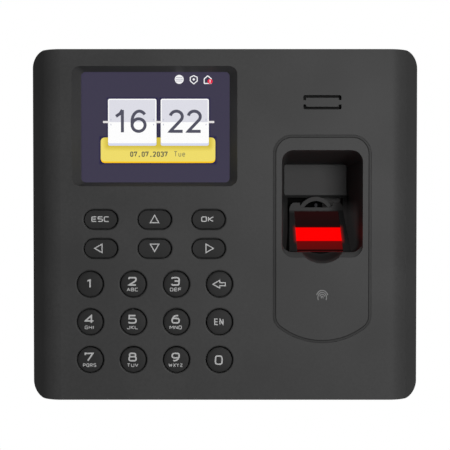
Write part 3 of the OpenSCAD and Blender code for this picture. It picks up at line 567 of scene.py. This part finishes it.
def glowing(name, hex_colour, dark_colour=None, casters=()):
    """Screen light: casters are (middle x, middle z, half width, half height, blur) in mm."""
    material, tree, shader, place = new_material(name, {
        "Base Color": (0, 0, 0, 1), "Specular IOR Level": 0.0, "Emission Strength": SCREEN_GAIN})
    dots = add(tree, "ShaderNodeTexNoise", {
        "Vector": place, "Scale": 1 / (DOT_MM * MM), "Detail": 1}).outputs["Fac"]
    # the screen's dots are too fine to show, so the ramp has the same colour at both ends
    light = add(tree, "ShaderNodeValToRGB", {"Fac": dots}, stops=(
        (NOISE_SPAN[0], hex_colour), (NOISE_SPAN[1], hex_colour))).outputs["Color"]
    for x, z, half_w, half_h, blur in casters:
        # inside the card this vector is zero, and outside it points to the nearest edge
        apart = place
        for operation, other in (("SUBTRACT", (screen.x + x * MM, 0, screen.z + z * MM)),
                                 ("ABSOLUTE", (0, 0, 0)),
                                 ("SUBTRACT", (half_w * MM, 1, half_h * MM)),
                                 ("MAXIMUM", (0, 0, 0))):
            apart = add(tree, "ShaderNodeVectorMath", {0: apart, 1: other},
                        operation=operation).outputs[0]
        away = add(tree, "ShaderNodeVectorMath", {0: apart}, operation="LENGTH").outputs["Value"]
        amount = add(tree, "ShaderNodeMapRange", {
            "Value": away, "From Max": blur * MM, "To Min": 1.0, "To Max": 0.0}).outputs["Result"]
        light = add(tree, "ShaderNodeMix", {0: amount, 6: light, 7: linear(dark_colour)},
                    data_type="RGBA").outputs[2]
    tree.links.new(light, shader.inputs["Emission Color"])
    return material


CARDS = [(-9.25, 2.1, 9.5, 9.2), (11.37, 2.1, 9.45, 9.2)]
BANNER = (0.85, -8.85, 22.5, 5.0)
finishes["lcd_glass"] = glowing("backlit_screen_violet", "#3c384c", "#211d46", [
    (*BANNER, 0.9), *[(*card, 0.9) for card in CARDS]])
print("picture background ready")

# %% [markdown]
# ## Dress the parts
# The record names a finish for every part. Each part's first material slot gets the finish made
# above, and the CAD meshes stay exactly as they are.

# %% Give every part its finish
for row in frame["record"]["subparts"]:
    part = parts[row["node"]]
    part.data.materials.clear()
    part.data.materials.append(finishes[row["material_slot"]])
for node, finish in (("fingerprint_bezel", panel_abs), ("rear_cover", cover_abs),
                     ("sensor_frame", frame_abs), ("finger_detector", finishes["tinted_resin"])):
    parts[node].data.materials[0] = finish

# %% [markdown]
# ## Softened edges
# A mould can't make a knife edge: real mouldings have edges rounded by a quarter of a millimetre or
# more, and those thin highlights are what tells plastic from a drawing. The CAD meshes come as many
# small faces, so a stack of modifiers does it without touching them: weld the doubled points, join
# faces that lie flat, bevel what is left of the sharp edges, and weight the normals so that flat
# faces stay flat.

# %% Soften the moulded edges
SHARP_DEGREES = 28  # an edge that turns more than this is softened


def soften(node, width_mm):
    part = parts[node]
    weld = part.modifiers.new("weld", "WELD")
    weld.merge_threshold = 0.001 * MM
    flatten = part.modifiers.new("flatten", "DECIMATE")
    flatten.decimate_type = "DISSOLVE"
    flatten.angle_limit = math.radians(0.5)
    bevel = part.modifiers.new("bevel", "BEVEL")
    bevel.width = width_mm * MM
    bevel.segments = 2
    bevel.limit_method = "ANGLE"
    bevel.angle_limit = math.radians(SHARP_DEGREES)
    bevel.harden_normals = True
    weighted = part.modifiers.new("weighted", "WEIGHTED_NORMAL")
    weighted.keep_sharp = True


soften("front_shell", 0.12)
soften("rear_cover", 0.3)
soften("fingerprint_bezel", 0.06)
soften("sensor_frame", 0.4)
soften("bay_pad", 0.15)
NOT_CAPS = ("key_board", "key_board_screws")
KEY_NODES = [node for node in parts if node.startswith("key_") and node not in NOT_CAPS]
for node in KEY_NODES:
    soften(node, 0.15)
print("softened", len(KEY_NODES), "keys and the mouldings round them")

# %% [markdown]
# ## Strokes for legends
# Key legends are drawn as strokes of one width, like an engraver's font, on a box one unit wide and
# high. A font would bring a maker's letter shapes with it, and point lists are easy to change.

# %% Stroke letters
def bow(x, z, rx, rz, start, end, steps=14):
    turns = [math.radians(start + (end - start) * i / steps) for i in range(steps + 1)]
    return [(x + rx * math.cos(t), z + rz * math.sin(t)) for t in turns]


BOX = [(0, 0), (1, 0), (1, 1), (0, 1)]
GLYPHS = {
    # strokes as point lists: a last point equal to the first closes the stroke, and a point given
    # twice makes a sharp corner
    "0": [BOX + [(0, 0)]],
    "1": [[(0, 0.87), (0.62, 1), (0.62, 1), (0.62, 0)]],
    "2": [[(0, 0.8), (0, 1), (1, 1), (1, 0.58), (0, 0), (0, 0), (1, 0)]],
    "3": [[(0, 0.82), (0, 1), (1, 1), (1, 0), (0, 0), (0, 0.18)], [(0.35, 0.54), (0.95, 0.54)]],
    "4": [[(0.78, 0), (0.78, 1), (0.78, 1), (-0.08, 0.27), (-0.08, 0.27), (1.08, 0.27)]],
    "5": [[(0.92, 1), (0.05, 1), (0.05, 1), (0.02, 0.58), (0.02, 0.58), (1, 0.6), (1, 0), (0, 0),
           (0, 0.16)]],
    "6": [[(0.86, 1), (0.36, 0.98), (0, 0.56), (0, 0), (1, 0), (1, 0.62), (0.1, 0.6)]],
    "7": [[(-0.1, 0.76), (-0.1, 1), (-0.1, 1), (0.98, 1), (0.98, 1), (0.26, 0)]],
    "8": [[(0.5, 0.54), (0.08, 0.54), (0.08, 1), (0.92, 1), (0.92, 0.54), (0.5, 0.54)],
          [(0.5, 0.54), (0, 0.54), (0, 0), (1, 0), (1, 0.54), (0.5, 0.54)]],
    "9": [[(0.14, 0), (0.64, 0.02), (1, 0.44), (1, 1), (0, 1), (0, 0.38), (0.9, 0.4)]],
    "A": [[(0, 0), (0.5, 1), (1, 0)], [(0.2, 0.33), (0.8, 0.33)]],
    "B": [[(0, 0), (0, 1)], [(0, 1), (0.95, 1), (0.95, 0.53), (0, 0.53)],
          [(0.6, 0.53), (1, 0.53), (1, 0), (0, 0)]],
    "C": [[(1, 1), (0, 1), (0, 0), (1, 0)]],
    "D": [[(0, 0), (0, 1)], [(0, 1), (1, 1), (1, 0), (0, 0)]],
    "E": [[(1, 1), (0, 1), (0, 0), (1, 0)], [(0, 0.5), (0.9, 0.5)]],
    "F": [[(1, 1), (0, 1), (0, 0)], [(0, 0.5), (0.9, 0.5)]],
    "G": [[(1, 1), (0, 1), (0, 0), (1, 0), (1, 0.5), (0.55, 0.5)]],
    "H": [[(0, 0), (0, 1)], [(1, 0), (1, 1)], [(0, 0.5), (1, 0.5)]],
    "I": [[(0.5, 0), (0.5, 1)]],
    "J": [[(1, 1), (1, 0), (0, 0), (0, 0.3)]],
    "K": [[(0, 0), (0, 1)], [(1, 1), (0.1, 0.5), (1, 0)]],
    "L": [[(0, 1), (0, 0), (1, 0)]],
    "M": [[(0, 0), (0, 1), (0.5, 0.35), (1, 1), (1, 0)]],
    "N": [[(0, 0), (0, 1), (1, 0), (1, 1)]],
    "O": [BOX + [(0, 0)]],
    "P": [[(0, 0), (0, 1), (1, 1), (1, 0.45), (0, 0.45)]],
    "Q": [BOX + [(0, 0)], [(0.6, 0.3), (1.05, -0.1)]],
    "R": [[(0, 0), (0, 1), (1, 1), (1, 0.48), (0, 0.48)], [(0.5, 0.48), (1, 0)]],
    "S": [[(1, 1), (0, 1), (0, 0.54), (1, 0.54), (1, 0), (0, 0)]],
    "T": [[(0, 1), (1, 1)], [(0.5, 1), (0.5, 0)]],
    "U": [[(0, 1), (0, 0), (1, 0), (1, 1)]],
    "V": [[(0, 1), (0.5, 0), (1, 1)]],
    "W": [[(0, 1), (0.22, 0), (0.5, 0.8), (0.78, 0), (1, 1)]],
    "X": [[(0, 0), (1, 1)], [(0, 1), (1, 0)]],
    "Y": [[(0, 1), (0.5, 0.5), (1, 1)], [(0.5, 0.5), (0.5, 0)]],
    "Z": [[(0, 1), (1, 1), (0, 0), (1, 0)]],
    # plain sans figures for the clock on the screen
    "clock 1": [[(-0.08, 0.74), (0.5, 0.88), (0.82, 1.06)], [(0.82, 1.06), (0.82, -0.05)]],
    "clock 6": [bow(0.56, 0.5, 0.56, 0.5, 42, 180) + [(0, 0.32)],
                bow(0.5, 0.31, 0.5, 0.31, 180, 540, 28)],
    "clock 2": [bow(0.5, 0.73, 0.47, 0.27, 170, -40) + [(0.02, 0), (1, 0)]],
    "dot": [[(0, 0.5), (1, 0.5)]],
    "dash": [[(0, 0.5), (1, 0.5)]],
    "small u": [[(0, 1), (0, 0), (1, 0), (1, 1)]],
    "small e": [bow(0.5, 0.5, 0.5, 0.5, 0, 315, 24), [(0, 0.5), (1, 0.5)]],
    "shield": [[(0.5, 1), (1, 0.8), (1, 0.35), (0.5, 0), (0, 0.35), (0, 0.8), (0.5, 1)]],
    "plus": [[(0, 0.5), (1, 0.5)], [(0.5, 0), (0.5, 1)]],
    "house": [[(0, 0), (0, 0.6), (0.5, 1), (1, 0.6), (1, 0), (0, 0)]],
    # outline arrows
    "up": [[(0, 0), (0.5, 1), (1, 0), (0, 0)]],
    "down": [[(0, 1), (0.5, 0), (1, 1), (0, 1)]],
    "left": [[(1, 0), (0, 0.5), (1, 1), (1, 0)]],
    "right": [[(0, 0), (1, 0.5), (0, 1), (0, 0)]],
    "back": [[(0, 0.5), (0.55, 1), (0.55, 0.69), (1, 0.69), (1, 0.31), (0.55, 0.31), (0.55, 0),
              (0, 0.5)]],
}
# how wide a letter is beside the others; the rest are 1
LETTER_WIDTHS = {"I": 0.24, "M": 1.3, "W": 1.35, "J": 0.85}
print("glyphs:", len(GLYPHS))

# %% [markdown]
# ## From points to ribbons
# Corners are rounded with short curves, because a real cutter or print screen can't turn sharply.
# `ribbon` gives a stroke its width and cuts it into steps short enough to lie on a domed key, and
# `lay_on` drops every point on the part below it.

# %% Rounded strokes and ribbons
SAME_PLACE = 1e-7  # metres; points nearer than this count as one
LONGEST_STEP = 0.4 * MM


def rounded_line(points, radius, steps=5):
    closed = (Vector(points[0]) - Vector(points[-1])).length < SAME_PLACE
    corners = [Vector(p) for p in (points[:-1] if closed else points)]
    count = len(corners)
    line = []
    for i, corner in enumerate(corners):
        if not closed and i in (0, count - 1):
            line.append(corner)
            continue
        before, after = corners[i - 1], corners[(i + 1) % count]
        reach = min(radius, (before - corner).length / 2, (after - corner).length / 2)
        start = corner + (before - corner).normalized() * reach
        end = corner + (after - corner).normalized() * reach
        for step in range(steps + 1):
            t = step / steps
            line.append(start * (1 - t) ** 2 + corner * 2 * t * (1 - t) + end * t ** 2)
    return line, closed


def short_steps(line, closed):
    path = []
    for i in range(len(line) if closed else len(line) - 1):
        start, end = line[i], line[(i + 1) % len(line)]
        pieces = max(1, math.ceil((end - start).length / LONGEST_STEP))
        path += [start.lerp(end, k / pieces) for k in range(pieces)]
    if not closed:
        path.append(line[-1])
    return [p for i, p in enumerate(path) if i == 0 or (p - path[i - 1]).length > SAME_PLACE]


def ribbon(shape, points, width, radius, drop):
    """One stroke of this width; drop turns a flat point into a point in space."""
    line, closed = rounded_line(points, radius)
    path = short_steps(line, closed)
    if closed and (path[0] - path[-1]).length < SAME_PLACE:
        path.pop()
    rows = []
    for i, point in enumerate(path):
        before = path[i - 1] if closed or i else None
        after = path[(i + 1) % len(path)] if closed or i < len(path) - 1 else None
        sides = [(b - a).normalized() for a, b in ((before, point), (point, after)) if a and b]
        heading = sum(sides, Vector((0, 0))).normalized()
        stretch = 1 / max(0.5, heading.dot(sides[0]))
        across = Vector((-heading.y, heading.x)) * (width / 2 * stretch)
        rows.append([shape.verts.new(drop(point + across)), shape.verts.new(drop(point - across))])
    for i in range(len(rows) if closed else len(rows) - 1):
        (a, b), (c, d) = rows[i], rows[(i + 1) % len(rows)]
        shape.faces.new((b, a, c, d))


def lay_on(node, lift_mm):
    mesh = parts[node].data
    ground = BVHTree.FromPolygons([v.co for v in mesh.vertices], [p.vertices for p in mesh.polygons])

    def drop(point):
        hit = ground.ray_cast(Vector((point.x, -1, point.y)), Vector((0, 1, 0)))[0]
        return Vector((point.x, hit.y - lift_mm * MM, point.y))
    return drop


print("a round corner has", len(rounded_line([(0, 0), (1, 0), (1, 1)], 0.3)[0]) - 2, "points")

# %% [markdown]
# ## Printed pieces
# Ink is a film a few hundredths of a millimetre thick. A Solidify modifier gives the ribbons that
# thickness, so that each legend is a closed solid. The ink is pad-printed in a light grey: matte,
# with a slightly cloudy cover.

# %% Ink and the printing function
INK_MM = 0.02


def film_piece(name, shape, material, body, thick_mm):
    piece = new_piece(name, shape, material)
    film = piece.modifiers.new("film", "SOLIDIFY")
    film.thickness = thick_mm * MM
    film.offset = -1
    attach(piece, body)
    return piece


def write(shape, text, middle, height, width, gap, stroke, radius, drop):
    """Letters in a row; width is that of a common letter; sizes in mm, middle in metres."""
    spans = [(width - stroke) * LETTER_WIDTHS.get(letter, 1) for letter in text]
    total = sum(spans) + len(text) * stroke + (len(text) - 1) * gap
    along = (stroke - total) / 2
    low = middle[1] + (stroke - height) / 2 * MM
    for letter, span in zip(text, spans):
        left = middle[0] + along * MM
        for line in GLYPHS[letter]:
            points = [(left + x * span * MM, low + z * (height - stroke) * MM) for x, z in line]
            ribbon(shape, points, stroke * MM, radius * MM, drop)
        along += span + stroke + gap


ink = grainy("pad_printed_grey_ink", "#bebebe", "#cccccc", 0.5, 0.002, (0.5, 0.6), 1.5)
print("ink ready")

# %% [markdown]
# ## Key legends
# Each key has its own legend piece, which rides on the key's body, so it sinks with the key when
# it is pressed. The digits are wide and square, with small letters below.

# %% Print the legends
LETTERS = {"2": "ABC", "3": "DEF", "4": "GHI", "5": "JKL", "6": "MNO", "7": "PQRS", "8": "TUV",
           "9": "WXYZ"}
SIGNS = {
    # key: (glyphs, height, width of one, gap, stroke, corner radius, shift right, shift up)
    "1": ("1", 3.4, 2.2, 0, 0.56, 0, -0.15, 0.2), "0": ("0", 3.75, 3.1, 0, 0.56, 1, -0.25, -0.1),
    "en": ("EN", 2.56, 1.6, 0.42, 0.4, 0, -0.2, 0.1),
    "ok": ("OK", 2.1, 2.25, 0.35, 0.4, 0.5, -0.4, 0.15),
    "esc": ("ESC", 2.15, 2.1, 0.3, 0.4, 0.5, -0.15, 0.15),
    "back": (["back"], 3.4, 5.2, 0, 0.4, 0, -0.1, 0),
    "up": (["up"], 3.25, 3.7, 0, 0.4, 0, 0, 0.2), "down": (["down"], 3.25, 3.7, 0, 0.4, 0, 0, 0.3),
    "left": (["left"], 3.7, 3.25, 0, 0.4, 0, -0.9, 0.1),
    "right": (["right"], 3.7, 3.25, 0, 0.4, 0, 0.45, 0.1)}
# a digit and the letters below it: height, stroke, corner radius, shift up
DIGIT, SMALL = (3.4, 0.58, 0.9, 1.1), (1.4, 0.26, 0.25, -2.07)
LEFT_MM = 0.25  # how far left of the middle they stand
for node in KEY_NODES:
    key = node[4:]
    low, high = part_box(node)
    middle = ((low.x + high.x) / 2, (low.z + high.z) / 2)
    drop = lay_on(node, INK_MM)
    legend = bmesh.new()
    if key in LETTERS:
        letter_width = 1.3 if len(LETTERS[key]) == 3 else 1.1
        for text, width, gap, (height, stroke, radius, up) in (
                (key, 3.3, 0, DIGIT), (LETTERS[key], letter_width, 0.25, SMALL)):
            write(legend, text, (middle[0] - LEFT_MM * MM, middle[1] + up * MM), height, width, gap,
                  stroke, radius, drop)
    else:
        text, height, width, gap, stroke, radius, right, up = SIGNS[key]
        write(legend, text, (middle[0] + right * MM, middle[1] + up * MM), height, width, gap, stroke,
              radius, drop)
    film_piece("legend_" + key, legend, ink, node + "_cap", INK_MM)
print("printed", len(KEY_NODES), "legends")

# %% [markdown]
# ## A dot to feel
# The 5 in the middle carries a small raised dot, so that a finger finds it without looking. It is
# moulded in one with the key, so here a flattened ball is sunk a little into the cap and rides on it.

# %% Raised dot on the 5
DOT_RADIUS, DOT_SUNK = 0.42 * MM, 0.03 * MM
DOT_LEFT, DOT_BELOW_EDGE = 0.2 * MM, 1.2 * MM
DOT_FLATNESS = 0.4  # its height beside its radius
low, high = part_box("key_5")
dot_at = lay_on("key_5", 0)(Vector(((low.x + high.x) / 2 - DOT_LEFT, high.z - DOT_BELOW_EDGE)))
dot = bmesh.new()
bmesh.ops.create_uvsphere(dot, u_segments=24, v_segments=12, radius=DOT_RADIUS)
bmesh.ops.scale(dot, vec=(1, DOT_FLATNESS, 1), verts=dot.verts)
bmesh.ops.translate(dot, vec=dot_at + Vector((0, DOT_SUNK, 0)), verts=dot.verts)
for face in dot.faces:
    face.smooth = True
finding_dot = new_piece("finding_dot", dot, finishes["black_plastic"])
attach(finding_dot, "key_5_cap")
print("dot at", [round(value / MM, 1) for value in dot_at], "mm")

# %% [markdown]
# ## The picture on the screen
# The clock page is a stack of flat shapes, as in a drawing program: a yellow banner, two flip cards
# split across the middle, hinges, figures, a date and three status icons. Each layer lies a few
# hundredths of a millimetre in front of the one before, in the gap between panel and window.
# `filled` makes solid shapes, and `drawn` writes with the same ribbons as the keys.

# %% Layers of the picture
LAYER_MM = 0.01  # how thick a layer is


def at_depth(mm):
    return lambda point: Vector((point.x, glass_y - mm * MM, point.y))


def screen_box(x, z, half_w, half_h, radius):
    corners = [(x - half_w, z - half_h), (x + half_w, z - half_h), (x + half_w, z + half_h),
               (x - half_w, z + half_h), (x - half_w, z - half_h)]
    return [tuple(p) for p in rounded_line(corners, radius)[0]]


def filled(name, outlines, depth_mm, material):
    shape = bmesh.new()
    drop = at_depth(depth_mm)
    for outline in outlines:
        corners = [Vector((screen.x + x * MM, screen.z + z * MM)) for x, z in dict.fromkeys(outline)]
        shape.faces.new([shape.verts.new(drop(corner)) for corner in corners])
    return film_piece(name, shape, material, "terminal", LAYER_MM)


def drawn(name, jobs, depth_mm, material):
    """jobs are (glyphs, middle x, middle z, height, width, gap, stroke, corner radius) in mm."""
    shape = bmesh.new()
    for text, x, z, *sizes in jobs:
        write(shape, text, (screen.x + x * MM, screen.z + z * MM), *sizes, at_depth(depth_mm))
    return film_piece(name, shape, material, "terminal", LAYER_MM)


# %% [markdown]
# ## Banner and cards
# A screen designer builds a flip clock from rounded boxes: a bright edge, a paler face just above it,
# and a greyer upper half that ends at the split. The same boxes are used here, each a little smaller
# than the one behind, so the edges of the ones behind show as fine lines.

# %% Banner and flip cards
SPLIT = 2.15       # height of the line that splits the cards
RIM = 0.45         # how far the upper half keeps from the card's edge
PIN_X, PIN_Z = 8.35, 0.95  # from the middle of a card and from the split
x, z, half_w, half_h = BANNER
filled("screen_banner_edge", [screen_box(*BANNER, 1.85)], 0.03, glowing("screen_amber", "#ffc814"))
filled("screen_banner", [screen_box(x, z + 0.3, half_w, half_h - 0.3, 1.8)], 0.05,
       glowing("screen_yellow", "#efdc69", "#d2bc3e", [(*card, 2.2) for card in CARDS]))
filled("screen_card_edge", [screen_box(x, z, w, h, 0.8) for x, z, w, h in CARDS], 0.07,
       glowing("screen_pale_blue", "#d8dcf0"))
filled("screen_card_rim", [screen_box(x, z + 0.5, w, h - 0.5, 0.8) for x, z, w, h in CARDS], 0.09,
       glowing("screen_white", "#fefefe"))
filled("screen_card_top", [
    screen_box(x, (z + h - RIM + SPLIT) / 2, w - RIM, (z + h - RIM - SPLIT) / 2, 0.3)
    for x, z, w, h in CARDS], 0.11, glowing("screen_lilac_grey", "#dddde6"))
gap_x = (CARDS[0][0] + CARDS[1][0]) / 2
filled("screen_hinges", [screen_box(x, SPLIT + 0.05, 1.12, 0.42, 0.2)
                         for x in (-19.6, gap_x, 21.8)], 0.13, glowing("screen_hinge_grey", "#e4e0e0"))
filled("screen_pins", [screen_box(x + side * PIN_X, SPLIT + dz, 0.16, 0.32, 0.1)
                       for x, *_ in CARDS for side in (-1, 1) for dz in (-PIN_Z, PIN_Z)], 0.13,
       glowing("screen_pin_grey", "#b9bccb"))
print("cards drawn:", len(CARDS))

# %% [markdown]
# ## Figures, date and day
# The time stands large on the cards, and the date and day small on the banner. They are strokes like
# the key legends, only wider and sharper.

# %% Figures, date and day
figure_grey = glowing("screen_figure_grey", "#50505f")
FIGURES = [("clock 1", -14.0, 4.0), ("clock 6", -6.75, 6.3),  # glyph, middle, width
           ("clock 2", 8.05, 6.2), ("clock 2", 15.1, 6.2)]
drawn("screen_figures", [([glyph], x, 2.5, 9.1, width, 0, 1.2, 0.0) for glyph, x, width in FIGURES],
      0.15, figure_grey)
DATE = [("07", -8.7), ("07", -4.2), ("2037", 1.75)]
date_grey = glowing("screen_date_grey", "#66654f")
drawn("screen_date", [(text, x, -10.4, 2.1, 1.25, 0.28, 0.42, 0.4) for text, x in DATE],
      0.07, date_grey)
filled("screen_date_dots", [screen_box(x, -11.25, 0.24, 0.24, 0.1) for x in (-6.5, -1.95)],
       0.07, date_grey)
drawn("screen_day", [("T", 7.75, -10.3, 2.2, 1.45, 0, 0.3, 0.0),
                     (["small u"], 9.4, -10.6, 1.6, 1.1, 0, 0.3, 0.5),
                     (["small e"], 10.95, -10.6, 1.6, 1.25, 0, 0.3, 0.0)],
      0.07, glowing("screen_day_grey", "#8f8a5c"))
print("figures drawn:", len(FIGURES))

# %% [markdown]
# ## Status icons
# A globe, a shield and a house with a red mark stand in the top corner, as plain shapes: filled
# discs, and outlines drawn with the same strokes as the letters.

# %% Status icons
def disc(x, z, radius):
    return [(x + p[0], z + p[1]) for p in bow(0, 0, radius, radius, 0, 360, 40)]


icon_white = glowing("screen_icon_white", "#f4f4f6")
filled("screen_globe", [disc(9.2, 18.9, 1.75)], 0.07, icon_white)
drawn("screen_globe_lines", [(["dash"], 9.2, 18.9 + z, 0.22, width, 0, 0.2, 0.0)
                             for z, width in ((0.75, 2.6), (0.05, 3.2), (-0.65, 2.8))],
      0.09, glowing("screen_icon_grey", "#8e8e9c"))
drawn("screen_shield", [(["shield"], 14.9, 18.75, 3.6, 3.1, 0, 0.38, 0.0),
                        (["plus"], 14.9, 18.9, 1.4, 1.4, 0, 0.4, 0.0)], 0.07, icon_white)
drawn("screen_house", [(["house"], 20.4, 18.8, 3.4, 3.2, 0, 0.4, 0.2)], 0.07, icon_white)
filled("screen_alert", [disc(21.3, 18.1, 1.0)], 0.09, glowing("screen_alert_red", "#e82848"))
filled("screen_alert_mark", [screen_box(21.3, 18.3, 0.16, 0.42, 0.1),
                             screen_box(21.3, 17.57, 0.16, 0.14, 0.1)], 0.11, icon_white)
print("icons drawn")

# %% [markdown]
# ## A plain sign on the sensor panel
# The panel carries a small printed sign that says where the finger goes. It is drawn here as plain
# ridge arcs, one inside the other, in the same grey ink, thinner than on the keys.

# %% Finger sign
sign_ink = grainy("pad_printed_dim_ink", "#808080", "#8c8c8c", 0.5, 0.002, (0.5, 0.6), 1.5)
panel_x = (panel_low.x + panel_high.x) / 2
sign_z = panel_low.z + 17.5 * MM
SIGN_STROKE = 0.32 * MM
RIDGES = [(0.35, 0.6), (1.0, 1.35), (1.65, 2.1), (2.3, 2.85)]  # half width, half height
sign = bmesh.new()
drop = lay_on("fingerprint_bezel", INK_MM)
for i, (half_w, half_h) in enumerate(RIDGES):
    reach = 20 if i % 2 else -25
    ridge = bow(panel_x, sign_z, half_w * MM, half_h * MM, 180 - reach, reach, 24)
    ribbon(sign, ridge, SIGN_STROKE, 0, drop)
film_piece("finger_sign", sign, sign_ink, "terminal", INK_MM)
print("ridges:", len(RIDGES))

# %% [markdown]
# ## The rating label
# A label on the back of the case carries ratings. Here it has only the ruled table that such
# labels share, with plain bars where words would be, so it says nothing.

# %% Rule the rating label
label_low, label_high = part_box("rating_label")
label_ink = grainy("thermal_printed_black", "#2c2c2c", "#363636", 0.4, 0.001, (0.5, 0.6), 1.5)
MARGIN, FRAME_RULE, ROW_RULE, BAR = 1.2 * MM, 0.25 * MM, 0.2 * MM, 0.9 * MM
BAR_START = 1.5 * MM
ROWS = 7
table = bmesh.new()


def behind_label(point):
    return Vector((point.x, label_high.y + INK_MM * MM, point.y))


left, right = label_low.x + MARGIN, label_high.x - MARGIN
low, high = label_low.z + MARGIN, label_high.z - MARGIN
ribbon(table, [(left, low), (right, low), (right, high), (left, high), (left, low)], FRAME_RULE, 0,
       behind_label)
for row in range(1, ROWS):
    z = low + (high - low) * row / ROWS
    ribbon(table, [(left, z), (right, z)], ROW_RULE, 0, behind_label)
for row in range(ROWS):
    z = low + (high - low) * (row + 0.5) / ROWS
    # the bars differ in length, as lines of words do
    reach = 0.45 + 0.3 * ((row * 5) % ROWS) / ROWS
    ribbon(table, [(right - BAR_START, z), (right - (right - left) * reach, z)], BAR, 0, behind_label)
label_table = film_piece("label_table", table, label_ink, "terminal", LAYER_MM)
print("label rows:", ROWS)
